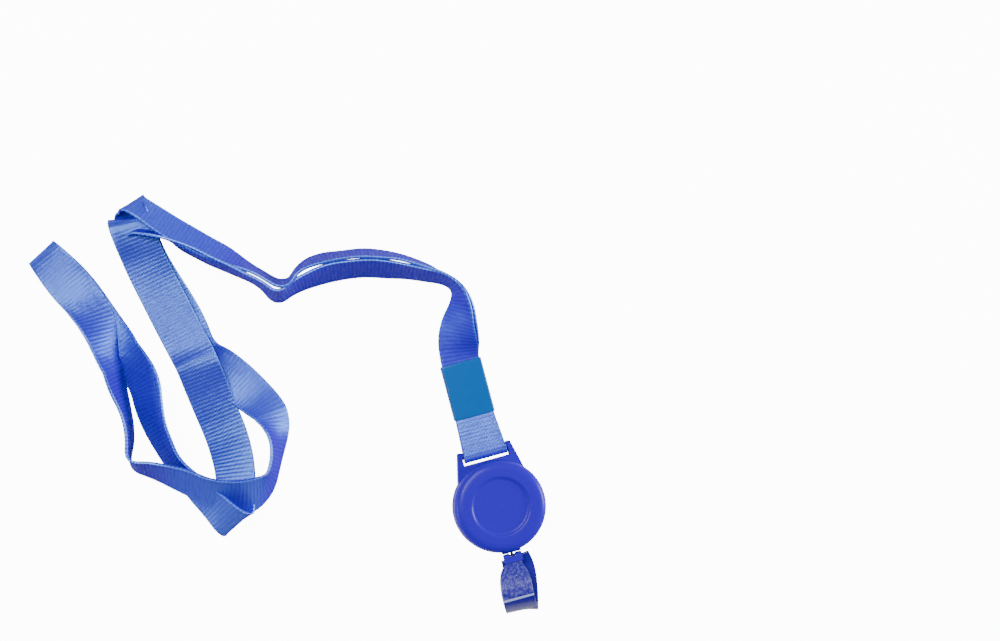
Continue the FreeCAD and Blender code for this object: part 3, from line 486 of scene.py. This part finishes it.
@dataclass(frozen=True)
class SatinRibbon:
    """Satin ribbon: a sheen drawn out across fine ribs and painted in where the cloth lies flat,
    painted shade in the troughs of the ribs, and a stitched selvedge at both sides.

    The UV map holds millimetres: U along the ribbon, V across it from its middle. rib_pitch is as
    coarse as the ribs need to be to show, and is not a measured pitch.
    """

    name: str
    colour: str
    gloss_colour: str
    edge_colour: str
    half_width: float
    painted_sheen_peak: float = 0.36
    rib_pitch: float = 1.3
    rib_strength: float = 0.5
    rib_shade: float = 0.3
    rib_depth: float = 0.12 * MM
    thread_share: float = 0.35
    swell_scale: float = 0.12
    swell_depth: float = 0.6 * MM
    roughness: float = 0.36
    stretch: float = 0.6
    body_roughness: float = 0.6
    selvedge: float = 0.9
    steep: float = 0.3
    flat: float = 0.75
    gathered_until: float = 18.0
    free_from: float = 38.0
    gathered_painted_sheen: float = 0.2

    def build(self) -> bpy.types.Material:
        """Makes the material.

        Returns:
            The finished material.
        """
        material, tree = new_material(self.name)
        place = add_node(tree, "ShaderNodeUVMap", uv_map=WEAVE_UV)
        axes = add_node(tree, "ShaderNodeSeparateXYZ", {0: place.outputs["UV"]})
        along, across = axes.outputs["X"], axes.outputs["Y"]
        rib = self.wave(tree, along, self.rib_pitch)
        thread = self.wave(tree, across, self.rib_pitch * self.thread_share)
        side = add_node(tree, "ShaderNodeMath", {0: across}, operation="ABSOLUTE")
        edge = add_node(
            tree,
            "ShaderNodeMapRange",
            {
                "Value": side.outputs[0],
                "From Min": self.half_width - self.selvedge,
                "From Max": self.half_width - self.selvedge * 0.8,
            },
        )
        soft = add_node(
            tree,
            "ShaderNodeTexNoise",
            {"Vector": place.outputs["UV"], "Scale": self.swell_scale, "Detail": 2.0},
            noise_dimensions="2D",
        )
        dots = add_node(tree, "ShaderNodeMath", {0: rib, 1: edge.outputs[0]}, operation="MULTIPLY")
        # Painted shade: the colour is darkened in the troughs of the ribs, in step with their bump.
        dim = add_node(
            tree,
            "ShaderNodeMath",
            {0: rib, 1: self.rib_shade, 2: 1.0 - self.rib_shade},
            operation="MULTIPLY_ADD",
        )
        dotted = mixed(tree, dots.outputs[0], self.colour, self.edge_colour)
        colour = add_node(
            tree, "ShaderNodeVectorMath", {0: dotted, "Scale": dim.outputs[0]}, operation="SCALE"
        ).outputs[0]
        relief = add_node(tree, "ShaderNodeMath", {0: rib, 1: thread}, operation="ADD")
        ribs = add_node(
            tree,
            "ShaderNodeBump",
            {
                "Height": relief.outputs[0],
                "Strength": self.rib_strength,
                "Distance": self.rib_depth,
            },
        )
        waves = add_node(
            tree,
            "ShaderNodeBump",
            {
                "Height": soft.outputs["Fac"],
                "Strength": 0.5,
                "Distance": self.swell_depth,
                "Normal": ribs.outputs["Normal"],
            },
        )
        tangent = add_node(tree, "ShaderNodeTangent", direction_type="UV_MAP", uv_map=WEAVE_UV)
        body = add_node(
            tree,
            "ShaderNodeBsdfPrincipled",
            {
                "Base Color": colour,
                "IOR": 1.3,
                "Specular IOR Level": 0.2,
                "Roughness": self.body_roughness,
                "Normal": waves.outputs["Normal"],
            },
        )
        gloss = add_node(
            tree,
            "ShaderNodeBsdfPrincipled",
            {
                "Base Color": linear(self.gloss_colour),
                "Metallic": 1.0,
                "Specular Tint": linear(self.gloss_colour),
                "Roughness": self.roughness,
                "Anisotropic": self.stretch,
                "Normal": waves.outputs["Normal"],
                "Tangent": tangent.outputs[0],
            },
        )
        # Painted sheen: the pale metallic gloss is mixed over the deep blue by how flat the cloth
        # lies, wherever the lamps stand.
        shader = add_node(
            tree,
            "ShaderNodeMixShader",
            {0: self.painted_sheen_share(tree, along), 1: body.outputs[0], 2: gloss.outputs[0]},
        )
        close_material(tree, shader)
        return material

    def painted_sheen_share(
        self, tree: bpy.types.NodeTree, along: bpy.types.NodeSocket
    ) -> bpy.types.NodeSocket:
        """A painted sheen: how much pale metallic gloss is mixed in, fully where the cloth lies
        flat, not at all where it stands on edge.

        The painted sheen is also weaker beside the sleeve, where the cloth is drawn together.

        Args:
            tree: The material's tree.
            along: The distance along the ribbon in millimetres.

        Returns:
            The share's socket.
        """
        place = add_node(tree, "ShaderNodeNewGeometry")
        axes = add_node(tree, "ShaderNodeSeparateXYZ", {0: place.outputs["Normal"]})
        upright = add_node(tree, "ShaderNodeMath", {0: axes.outputs["Z"]}, operation="ABSOLUTE")
        # Painted sheen: full where the normal points straight up or down, none where the cloth
        # stands on edge.
        share = add_node(
            tree,
            "ShaderNodeMapRange",
            {
                "Value": upright.outputs[0],
                "From Min": self.steep,
                "From Max": self.flat,
                "To Max": self.painted_sheen_peak,
            },
            interpolation_type="SMOOTHSTEP",
        )
        drawn = add_node(
            tree,
            "ShaderNodeMapRange",
            {
                "Value": along,
                "From Min": self.gathered_until,
                "From Max": self.free_from,
                "To Min": self.gathered_painted_sheen,
                "To Max": 1.0,
            },
        )
        return add_node(
            tree, "ShaderNodeMath", {0: share.outputs[0], 1: drawn.outputs[0]}, operation="MULTIPLY"
        ).outputs[0]

    def wave(
        self, tree: bpy.types.NodeTree, along: bpy.types.NodeSocket, pitch: float
    ) -> bpy.types.NodeSocket:
        """A smooth wave from 0 to 1 along one direction: half of one plus the sine of the turns.

        Args:
            tree: The material's tree.
            along: The distance in millimetres.
            pitch: The length of one wave in millimetres.

        Returns:
            The wave's socket.
        """
        turns = add_node(
            tree, "ShaderNodeMath", {0: along, 1: math.tau / pitch}, operation="MULTIPLY"
        )
        sine = add_node(tree, "ShaderNodeMath", {0: turns.outputs[0]}, operation="SINE")
        half = add_node(
            tree, "ShaderNodeMath", {0: sine.outputs[0], 1: 0.5, 2: 0.5}, operation="MULTIPLY_ADD"
        )
        return half.outputs[0]


@dataclass(frozen=True)
class PlainMetal:
    """Bare or plated metal: bright with a soft spread to its reflections."""

    name: str
    colour: str
    roughness: float = 0.2

    def build(self) -> bpy.types.Material:
        """Makes the material.

        Returns:
            The finished material.
        """
        material, tree = new_material(self.name)
        shader = add_node(
            tree,
            "ShaderNodeBsdfPrincipled",
            {"Base Color": linear(self.colour), "Metallic": 1.0, "Roughness": self.roughness},
        )
        close_material(tree, shader)
        return material


def sampled_nurbs(name: str, rows: np.ndarray, resolution: int) -> np.ndarray:
    """Reads points off an open order-3 NURBS spline through its end points.

    Args:
        name: The curve's name.
        rows: Control points, one row each.
        resolution: Steps per control point.

    Returns:
        The points along the spline, evenly spaced in its own parameter.
    """
    curve = bpy.data.curves.new(name, "CURVE")
    curve.dimensions = "3D"
    curve.resolution_u = resolution
    spline = curve.splines.new("NURBS")
    spline.points.add(len(rows) - 1)
    flat = np.hstack([rows, np.ones((len(rows), 1))]).astype(np.float32)
    spline.points.foreach_set("co", flat.ravel())
    spline.order_u = 3
    spline.use_endpoint_u = True
    holder = bpy.data.objects.new(name, curve)
    mesh = bpy.data.meshes.new_from_object(holder)
    points = np.empty(len(mesh.vertices) * 3, np.float32)
    mesh.vertices.foreach_get("co", points)
    bpy.data.meshes.remove(mesh)
    bpy.data.objects.remove(holder)
    bpy.data.curves.remove(curve)
    return points.reshape(-1, 3).astype(float)


def unit(rows: np.ndarray) -> np.ndarray:
    """Scales every row to a length of one.

    Args:
        rows: Vectors, one row each.

    Returns:
        The unit vectors.
    """
    return rows / np.linalg.norm(rows, axis=-1, keepdims=True)


def signed_volume(points: np.ndarray, faces: np.ndarray) -> float:
    """Six times the volume inside a closed surface: the sum of a . (b x c) over its triangles.

    Args:
        points: The vertices.
        faces: Quads, one row each.

    Returns:
        A positive number where the faces point outward.
    """
    a, b, c, d = (points[faces[:, i]] for i in range(4))
    return float(np.einsum("ij,ij->", a, np.cross(b, c)) + np.einsum("ij,ij->", a, np.cross(c, d)))


def skin(
    name: str,
    rings: np.ndarray,
    marks: tuple[np.ndarray, np.ndarray] | None = None,
    joined: bool = False,
) -> bpy.types.Object:
    """Makes a closed mesh from a grid of rings, each ring closed on itself.

    Args:
        name: The object's name.
        rings: Points shaped (rings, points round one ring, 3).
        marks: U per ring and V round one ring, for the UV map.
        joined: Whether the last ring joins the first, in place of a cap on each.

    Returns:
        The new object, linked to the scene.
    """
    count, around = rings.shape[:2]
    points = rings.reshape(-1, 3)
    row = np.arange(count if joined else count - 1)[:, None]
    column = np.arange(around)[None, :]
    after_row = (row + 1) % count
    after_column = (column + 1) % around
    corners = (
        row * around + column,
        row * around + after_column,
        after_row * around + after_column,
        after_row * around + column,
    )
    quads = np.stack([np.broadcast_to(c, (len(row), around)) for c in corners], -1).reshape(-1, 4)
    flip = signed_volume(points - points.mean(0), quads) < 0.0
    if flip:
        quads = quads[:, ::-1]
    faces = quads.tolist()
    if not joined:
        first = list(range(around))
        last = [(count - 1) * around + i for i in range(around)]
        faces.append(first if flip else first[::-1])
        faces.append(last[::-1] if flip else last)
    mesh = bpy.data.meshes.new(name)
    mesh.from_pydata(points.tolist(), [], faces)
    mesh.shade_smooth()
    if marks is not None:
        layer = mesh.uv_layers.new(name=WEAVE_UV)
        loops = np.empty(len(mesh.loops), np.int32)
        mesh.loops.foreach_get("vertex_index", loops)
        values = np.stack([marks[0][loops // around], marks[1][loops % around]], -1)
        layer.data.foreach_set("uv", values.astype(np.float32).ravel())
    thing = bpy.data.objects.new(name, mesh)
    bpy.context.scene.collection.objects.link(thing)
    return thing


def turned(name: str, profile: np.ndarray, segments: int) -> bpy.types.Object:
    """Turns a profile about the Z axis.

    Every point is the radius times (cosine, sine) of the angle, at the profile's height.

    Args:
        name: The object's name.
        profile: Rows of radius and height, a closed outline if it never meets the axis.
        segments: Steps round the turn.

    Returns:
        The new object.
    """
    angle = np.linspace(0.0, math.tau, segments, endpoint=False)
    rings = np.empty((len(profile), segments, 3))
    rings[..., 0] = profile[:, :1] * np.cos(angle)
    rings[..., 1] = profile[:, :1] * np.sin(angle)
    rings[..., 2] = profile[:, 1:]
    open_ends = profile[0, 0] < ON_AXIS or profile[-1, 0] < ON_AXIS
    return skin(name, rings, joined=not open_ends)


def eased(corners: list[tuple[float, float, float]], steps: int) -> np.ndarray:
    """Rounds the corners of an outline: each becomes a quadratic bend between its two sides.

    A bend's points are (1-t)^2 times its start, 2t(1-t) times the corner and t^2 times its end.

    Args:
        corners: Rows of x, y and how far the bend reaches along each side.
        steps: Points on every bend.

    Returns:
        The outline's points.
    """
    spots = np.array([c[:2] for c in corners])
    count = len(corners)
    share = np.linspace(0.0, 1.0, steps)[:, None]
    outline = []
    for i, corner in enumerate(corners):
        if corner[2] == 0.0:
            outline.append(spots[i][None])
            continue
        start = spots[i] + unit(spots[i - 1] - spots[i]) * corner[2]
        end = spots[i] + unit(spots[(i + 1) % count] - spots[i]) * corner[2]
        bend = (1 - share) ** 2 * start + 2 * share * (1 - share) * spots[i] + share**2 * end
        outline.append(bend)
    return np.vstack(outline)


def box_outline(half: float, low: float, top: float, corner: float, steps: int) -> np.ndarray:
    """A rectangle about the middle line with eased corners.

    Args:
        half: Half its width.
        low: Its lower side's height.
        top: Its upper side's height.
        corner: How far the corners reach.
        steps: Points on every corner.

    Returns:
        The outline's points.
    """
    corners = [(-half, low), (half, low), (half, top), (-half, top)]
    return eased([(x, y, corner) for x, y in corners], steps)


def across_of(route: tuple) -> np.ndarray:
    """The line across a strip at every point of its route, as unit vectors.

    Args:
        route: Rows of x, y, z, bearing and slope.

    Returns:
        One vector per row: (cos bearing cos slope, sin bearing cos slope, sin slope).
    """
    turn, rise = np.radians(np.array(route)[:, 3:5].T)
    return np.stack([np.cos(turn) * np.cos(rise), np.sin(turn) * np.cos(rise), np.sin(rise)], -1)


@dataclass
class Strip:
    """A flat strip swept along a route, with a bead along both edges."""

    name: str
    route: tuple
    widths: tuple
    thick: float
    step: float = 0.8 * MM
    resolution: int = 24
    bead: float = 0.0
    bead_from: float = 0.86
    face_reach: float = 0.985

    def frames(self) -> tuple[np.ndarray, np.ndarray, np.ndarray, np.ndarray, np.ndarray]:
        """Works out the strip's centreline and axes at even steps.

        Returns:
            Centres, lines across, face normals, widths and distances along.
        """
        rows = np.array(self.route)[:, :3]
        centre = sampled_nurbs(f"{self.name}_line", rows, self.resolution)
        across = sampled_nurbs(f"{self.name}_across", across_of(self.route), self.resolution)
        spread = np.zeros((len(rows), 3))
        spread[:, 0] = self.widths
        wide = sampled_nurbs(f"{self.name}_width", spread, self.resolution)[:, 0]
        run = np.concatenate([[0.0], np.cumsum(np.linalg.norm(np.diff(centre, axis=0), axis=1))])
        even = np.linspace(0.0, run[-1], max(int(run[-1] / self.step), 8))
        centre, across = (
            np.stack([np.interp(even, run, values[:, k]) for k in range(3)], -1)
            for values in (centre, across)
        )
        wide = np.interp(even, run, wide)
        tangent = unit(np.gradient(centre, axis=0))
        across = unit(across - tangent * np.einsum("ij,ij->i", across, tangent)[:, None])
        return centre, across, np.cross(tangent, across), wide, even

    def section(self, count: int = 13) -> tuple[np.ndarray, np.ndarray]:
        """One closed outline of the strip: across from -1 to 1 and back, with its half heights.

        Args:
            count: Points on each face.

        Returns:
            Places across as a share of the half width, and heights as a share of half the
            thickness.
        """
        share = np.sin(np.linspace(-1.0, 1.0, count) * math.pi / 2)
        rise = (np.abs(share) - self.bead_from) / (1.0 - self.bead_from)
        height = 1.0 + self.bead * np.clip(rise, 0.0, 1.0)
        turn = np.linspace(0.0, math.pi, 5)[1:-1]
        cap = np.cos(turn) * height[-1]
        face = share * self.face_reach
        reach = self.face_reach + (1.0 - self.face_reach) * np.sin(turn)
        across = np.concatenate([face, reach, face[::-1], -reach])
        up = np.concatenate([height, cap, -height, -cap])
        return across, up

    def build(
        self, ripple: Callable[[np.ndarray, np.ndarray], np.ndarray] | None = None
    ) -> tuple[bpy.types.Object, np.ndarray]:
        """Makes the strip's mesh.

        Each point is the centre, plus the line across times its place, plus the normal times its
        height.

        Args:
            ripple: Optional lift along the normal, from the distance along and the place across.

        Returns:
            The new object and the centreline it follows.
        """
        centre, across, normal, wide, along = self.frames()
        place, up = self.section()
        rings = (
            centre[:, None]
            + across[:, None] * (place[None, :, None] * wide[:, None, None] / 2)
            + normal[:, None] * (up[None, :, None] * self.thick / 2)
        )
        if ripple is not None:
            rings += normal[:, None] * ripple(along, place)[..., None]
        marks = (along / MM, place * float(np.median(wide)) / 2 / MM)
        return skin(self.name, rings, marks), centre


@dataclass
class Camera:
    """The camera: where it stands, what it looks at and how far it is rolled."""

    place: Vector
    aim: Vector
    roll: float
    lens: float

    def build(self) -> None:
        """Adds the camera and makes it the scene's own."""
        data = bpy.data.cameras.new("main_camera")
        data.lens = self.lens
        data.clip_start = 0.01
        holder = bpy.data.objects.new("main_camera", data)
        bpy.context.scene.collection.objects.link(holder)
        back = (self.place - self.aim).normalized()
        up = Vector((math.sin(self.roll), math.cos(self.roll), 0.0))
        right = up.cross(back).normalized()
        up = back.cross(right)
        turn = Matrix((right, up, back)).transposed().to_4x4()
        holder.matrix_world = Matrix.Translation(self.place) @ turn
        bpy.context.scene.camera = holder


@dataclass
class Studio:
    """A pale floor and four square lamps: a key above, a weak fill and one low at either side.

    Each lamp is its name, place, side and power in watts.
    """

    floor_size: float = 4.0
    floor_colour: str = "#F4F5F6"
    floor_glow: float = 13.0
    lamps: tuple = (
        ("key_light", (-0.20, 0.29, 0.64), 0.34, 6.0),
        ("fill_light", (0.45, -0.15, 0.55), 0.60, 0.35),
        ("left_light", (-0.80, 0.10, 0.20), 0.35, 3.0),
        ("right_light", (0.80, -0.05, 0.24), 0.35, 12.0),
    )
    aim: tuple = (-0.04, 0.06, 0.0)
    air: float = 0.09

    def build(self) -> None:
        """Adds the floor, the lights and the even light of the room."""
        half = self.floor_size / 2
        mesh = bpy.data.meshes.new("floor")
        corners = [(-half, -half, 0), (half, -half, 0), (half, half, 0), (-half, half, 0)]
        mesh.from_pydata(corners, [], [(0, 1, 2, 3)])
        floor = bpy.data.objects.new("floor", mesh)
        bpy.context.scene.collection.objects.link(floor)
        material, tree = new_material("matt_white_card")
        seen = add_node(tree, "ShaderNodeLightPath")
        glow = add_node(
            tree,
            "ShaderNodeMath",
            {0: seen.outputs["Is Camera Ray"], 1: self.floor_glow},
            operation="MULTIPLY",
        )
        card = add_node(
            tree,
            "ShaderNodeBsdfPrincipled",
            {
                "Base Color": linear(self.floor_colour),
                "Roughness": 0.9,
                "Emission Color": linear(self.floor_colour),
                "Emission Strength": glow.outputs[0],
            },
        )
        close_material(tree, card)
        mesh.materials.append(material)
        for name, place, side, power in self.lamps:
            self.softbox(name, Vector(place), side, power)
        world = bpy.data.worlds.new("room")
        bpy.context.scene.world = world
        world.use_nodes = True
        world.node_tree.nodes.clear()
        air = add_node(
            world.node_tree,
            "ShaderNodeBackground",
            {"Color": linear("#FFFFFF"), "Strength": self.air},
        )
        add_node(world.node_tree, "ShaderNodeOutputWorld", {"Surface": air.outputs[0]})

    def softbox(self, name: str, place: Vector, side: float, power: float) -> None:
        """Adds a square lamp that faces the middle of the object.

        Args:
            name: The lamp's name.
            place: Where it stands.
            side: Its width and height.
            power: Its power in watts.
        """
        data = bpy.data.lights.new(name, "AREA")
        data.size = side
        data.energy = power
        lamp = bpy.data.objects.new(name, data)
        bpy.context.scene.collection.objects.link(lamp)
        turn = (place - Vector(self.aim)).to_track_quat("Z", "Y").to_matrix().to_4x4()
        lamp.matrix_world = Matrix.Translation(place) @ turn


def finish_piece(
    thing: bpy.types.Object, body: Body, slot: Slot, material: bpy.types.Material, *nodes: str
) -> None:
    """Gives a piece its body and material, and lets it stand for CAD nodes.

    Args:
        thing: The piece.
        body: What it moves with.
        slot: Not used.
        material: Its finish.
        nodes: CAD nodes it is shown in place of.
    """
    thing.data.materials.append(material)
    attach(thing, body.value)
    if nodes:
        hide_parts(*nodes)
    LOG.info("%s: %d faces, rides on %s", thing.name, len(thing.data.polygons), body.value)


@dataclass
class NeckRibbon:
    """The neck ribbon and its short loop through the reel's slot.

    The gathered rows count from either end of the route, and the folds and creases from its start.
    Each is a row's number with the width there, or with the crease's lift.
    """

    thick: float = 0.9 * MM
    full_width: float = 14.5 * MM
    gathered: tuple = ((0, 13.3 * MM), (1, 13.3 * MM), (2, 13.6 * MM), (3, 14.3 * MM))
    folds: tuple = (
        (37, 11.5 * MM),
        (38, 11.0 * MM),
        (61, 11.5 * MM),
        (62, 9.5 * MM),
        (63, 13.5 * MM),
    )
    creases: tuple = (
        (21, 1.1 * MM),
        (34, 0.8 * MM),
        (42, -0.6 * MM),
        (53, 0.6 * MM),
        (59, 0.6 * MM),
    )
    crease_reach: float = 3.5 * MM
    swells: tuple = ((31 * MM, 0.0, 0.10 * MM), (13 * MM, 1.3, 0.05 * MM))
    edge_swell: tuple = (19 * MM, 0.4, 0.10 * MM)
    calm_reach: float = 25 * MM
    calm_share: float = 0.4
    exit: tuple = (0.0, 0.0513, 0.0021)
    marks: tuple = ()

    def build(self, weave: bpy.types.Material) -> None:
        """Args:
            weave: The ribbon's finish.
        """
        widths = [self.full_width] * len(NECK_ROUTE)
        for index, width in self.gathered:
            widths[index] = width
            widths[-1 - index] = width
        for index, width in self.folds:
            widths[index] = width
        strip = Strip("neck_ribbon", NECK_ROUTE, tuple(widths), self.thick, bead=EDGE_BEAD)
        self.marks = self.crease_marks(strip)
        ribbon, centre = strip.build(self.ripple)
        finish_piece(ribbon, Body.LANYARD, Slot.RIBBON, weave, "lanyard_ribbon")
        loop, _ = Strip(
            "slot_loop", SLOT_ROUTE, SLOT_WIDTHS, self.thick, step=0.4 * MM, bead=EDGE_BEAD
        ).build()
        finish_piece(loop, Body.LANYARD, Slot.RIBBON, weave, "ribbon_slot_loop")

    def crease_marks(self, strip: Strip) -> tuple[tuple[float, float], ...]:
        """Finds how far along the strip every crease lies.

        Args:
            strip: The neck ribbon's strip.

        Returns:
            Distance along and lift of every crease.
        """
        centre, _, _, _, along = strip.frames()
        spots = []
        for index, lift in self.creases:
            away = np.linalg.norm(centre - np.array(NECK_ROUTE[index][:3]), axis=1)
            spots.append((float(along[int(away.argmin())]), lift))
        return tuple(spots)

    def ripple(self, along: np.ndarray, place: np.ndarray) -> np.ndarray:
        """Soft waves of the cloth: sines of the distance and peaks that fall off from each crease.

        Args:
            along: Distance along the ribbon.
            place: Place across it, from -1 to 1.

        Returns:
            The lift of every point along the normal.
        """
        rest = np.minimum(along, along[-1] - along) / self.calm_reach - self.calm_share
        calm = np.clip(rest, 0.0, 1.0)
        lift = sum(swell(along, *terms) for terms in self.swells)
        lift = lift + sum(
            height * np.exp(-np.abs(along - spot) / self.crease_reach)
            for spot, height in self.marks
        )
        edge = calm * swell(along, *self.edge_swell)
        return (calm * lift)[:, None] + edge[:, None] * (place * np.abs(place))[None, :]


def swell(along: np.ndarray, length: float, phase: float, height: float) -> np.ndarray:
    """A wave along a strip: the height times the sine of the turns so far plus a phase.

    Args:
        along: Distance along the strip.
        length: The length of one wave.
        phase: The angle it starts at.
        height: How far it lifts.

    Returns:
        The lift at every distance.
    """
    return height * np.sin(along * math.tau / length + phase)


@dataclass
class Sleeve:
    """The flat sleeve: a rounded tube whose ends are drawn in a little.

    The lip is pairs of distance from an end in millimetres and share of the wall drawn in there.
    """

    start: float = 32.0 * MM
    length: float = 19.3 * MM
    half: float = 7.3 * MM
    low: float = 0.1 * MM
    top: float = 2.95 * MM
    wall: float = 0.4 * MM
    corner: float = 0.9 * MM
    lip: tuple = ((0.0, 0.35), (0.15, 0.10), (0.45, 0.0), (1.0, 0.0), (3.0, 0.0), (6.0, 0.0))

    def build(self, teal: bpy.types.Material) -> None:
        """Makes the sleeve.

        Args:
            teal: The sleeve's finish.
        """
        outer = self.outline(0.0, self.corner)
        inner = self.outline(self.wall, self.corner - self.wall)
        near, drawn = np.array(self.lip).T * np.array([[MM], [1.0]])
        places = np.concatenate([near, [self.length / 2], self.length - near[::-1]])
        shares = np.concatenate([drawn, [0.0], drawn[::-1]])
        walls = [outer + (inner - outer) * share for share in shares]
        rings = [self.ring(shape, place) for shape, place in zip(walls, places)]
        rings += [self.ring(inner, place) for place in places[::-1]]
        sleeve = skin("sleeve", np.array(rings), joined=True)
        finish_piece(sleeve, Body.LANYARD, Slot.SLEEVE, teal, "crimp_sleeve")

    def outline(self, inset: float, corner: float) -> np.ndarray:
        """The sleeve's cross section, drawn in by an inset.

        Args:
            inset: How far it lies inside the outer outline.
            corner: The reach of its rounded corners.

        Returns:
            Points as x and z.
        """
        half, low, top = self.half - inset, self.low + inset, self.top - inset
        return box_outline(half, low, top, corner, 8)

    def ring(self, shape: np.ndarray, place: float) -> np.ndarray:
        """Stands a cross section across the sleeve.

        Args:
            shape: Points as x and z.
            place: Distance from the sleeve's start.

        Returns:
            Points in space.
        """
        return np.stack([shape[:, 0], np.full(len(shape), self.start + place), shape[:, 1]], -1)


@dataclass
class Reel:
    """The round case's own pieces: the front cover with its round recess, and the exit boss.

    The boss is pairs, in millimetres, of place along Y and how far its outline is drawn in there.
    """

    front_radius: float = 15.9 * MM
    height: float = 9.6 * MM
    split: float = 4.4 * MM
    recess_radius: float = 10.1 * MM
    recess_floor: float = 9.0 * MM
    roof: float = 8.0 * MM
    rim_round: float = 3.2 * MM
    seam: float = 0.02 * MM
    lip_radius: float = 13.9 * MM
    segments: int = 160
    boss_half: float = 3.3 * MM
    boss_low: float = 2.9 * MM
    boss_top: float = 5.9 * MM
    boss_corner: float = 0.7 * MM
    boss: tuple = ((-14.8, 0.0), (-16.1, 0.0), (-16.25, 0.04), (-16.33, 0.15), (-16.35, 0.3))

    def build(self, royal: bpy.types.Material) -> None:
        """Makes the front cover.

        Args:
            royal: The case's finish.
        """
        bottom = self.split + self.seam
        profile = [
            (0.0, self.recess_floor, 0.0),
            (self.recess_radius - 0.80 * MM, self.recess_floor, 0.45 * MM),
            (self.recess_radius + 0.10 * MM, self.height, 0.40 * MM),
            (self.front_radius, self.height, self.rim_round),
            (self.front_radius, bottom, 0.08 * MM),
            (self.lip_radius, bottom, 0.0),
            (self.lip_radius, self.roof, 0.0),
            (0.0, self.roof, 0.0),
        ]
        front = turned("front_shell", eased(profile, 8), self.segments)
        finish_piece(front, Body.REEL, Slot.CASE, royal, "front_cover")
        finish_piece(self.exit_boss(), Body.REEL, Slot.CASE, royal)

    def exit_boss(self) -> bpy.types.Object:
        """The small boss on the rim round the cord's exit: rounded outlines carried along Y.

        Returns:
            The new object.
        """
        rings = []
        for place, inset in np.array(self.boss) * MM:
            shape = box_outline(
                self.boss_half - inset,
                self.boss_low + inset,
                self.boss_top - inset,
                self.boss_corner,
                6,
            )
            rings.append(np.stack([shape[:, 0], np.full(len(shape), place), shape[:, 1]], -1))
        return skin("exit_boss", np.array(rings))


@dataclass
class PullCord:
    """The cord between the case and the stop, as a short straight tube."""

    radius: float = 0.4 * MM
    near: float = -15.9 * MM
    far: float = -16.9 * MM
    height: float = 4.4 * MM
    around: int = 16
    rings: int = 15

    def build(self, fibre: bpy.types.Material) -> None:
        """Makes the strand as a tube of even rings.

        Args:
            fibre: The cord's finish.
        """
        angle = np.linspace(0.0, math.tau, self.around, endpoint=False)
        places = np.linspace(self.near, self.far, self.rings)
        rings = np.empty((len(places), len(angle), 3))
        rings[..., 0] = self.radius * np.cos(angle)
        rings[..., 1] = places[:, None]
        rings[..., 2] = self.height + self.radius * np.sin(angle)
        strand = skin("pull_cord", rings)
        strand.data.materials.append(fibre)
        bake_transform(strand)
        faces = len(strand.data.polygons)
        LOG.info("pull_cord: %d faces, stretches from the case to the stop", faces)


@dataclass
class StrapLoop:
    """The vinyl strap loop, gathered into the clamp."""

    thick: float = 0.9 * MM

    def build(self, vinyl: bpy.types.Material) -> None:
        """Makes the loop.

        Args:
            vinyl: The strap's finish.
        """
        strip = Strip("strap_loop", STRAP_ROUTE, STRAP_WIDTHS, self.thick, step=0.4 * MM)
        loop, _ = strip.build()
        finish_piece(loop, Body.STRAP, Slot.VINYL, vinyl, "end_strap")


def dress_nodes(frame: dict, finishes: dict[Slot, bpy.types.Material]) -> None:
    """Gives every CAD node that is still shown the finish of its slot.

    Args:
        finishes: The material of every slot.
    """
    slots = {part["node"]: part["material_slot"] for part in frame["record"]["subparts"]}
    for name, node in frame["nodes"].items():
        node.data.materials.clear()
        node.data.materials.append(finishes[Slot(slots[name])])


def make_finishes() -> dict[Slot, bpy.types.Material]:
    """Makes one material for every slot.

    Returns:
        The materials by slot.
    """
    return {
        # Injection-moulded ABS: one deep blue with a soft, broad gloss.
        Slot.CASE: MouldedPlastic(
            "royal_blue_abs", "#2A00B0", roughness=0.34, coat=0.05, shine=0.14
        ).build(),
        # Woven polyester satin: deep blue, with a painted sheen that mixes in a pale metallic gloss
        # where it lies flat and none where it stands on edge.
        Slot.RIBBON: SatinRibbon(
            "satin_polyester", "#2C0BC8", "#74AAFF", "#2E42D4", half_width=7.25
        ).build(),
        # Moulded polypropylene: teal and smoother than the case, with a sharper gloss.
        Slot.SLEEVE: MouldedPlastic(
            "teal_polypropylene", "#0054A0", roughness=0.24, shine=0.3
        ).build(),
        # Calendered vinyl: glossy and dark, with a pale painted highlight along its fold and pale
        # painted glints before it.
        Slot.VINYL: GrainedVinyl("blue_vinyl", "#200C8C", "#A8B4EC", fold_at=13.4).build(),
        # Moulded acetal: dull and dark on the cord's stop, dull and white on the spool.
        Slot.CLAMP: MouldedPlastic("dark_blue_acetal", "#10206A", roughness=0.35).build(),
        Slot.SPOOL: MouldedPlastic("white_acetal", "#E8E8E2", roughness=0.45).build(),
        # Rolled spring steel is brushed and grey, and the plated pin and screw are brighter.
        Slot.SPRING: PlainMetal("spring_steel", "#9A9CA0", 0.3).build(),
        Slot.STEEL: PlainMetal("plated_steel", "#C9CBD0", 0.18).build(),
        # Braided nylon too thin to show its braid: an even, dull dark blue.
        Slot.CORD: MouldedPlastic("braided_nylon", "#1A2A70", roughness=0.6).build(),
    }


def main() -> None:
    """Builds the camera, the cords, the other pieces and the studio, in that order."""
    logging.basicConfig(level=logging.INFO, format="%(name)s %(message)s")
    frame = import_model()
    Camera(
        place=Vector((-0.0648, 0.0444, 0.660)),
        aim=Vector((0.0173, 0.0618, 0.0)),
        roll=math.radians(15.0),
        lens=68.8,
    ).build()
    finishes = make_finishes()
    dress_nodes(frame, finishes)
    NeckRibbon().build(finishes[Slot.RIBBON])
    Sleeve().build(finishes[Slot.SLEEVE])
    Reel().build(finishes[Slot.CASE])
    PullCord().build(finishes[Slot.CORD])
    StrapLoop().build(finishes[Slot.VINYL])
    Studio().build()


if __name__ == "__main__":
    main()
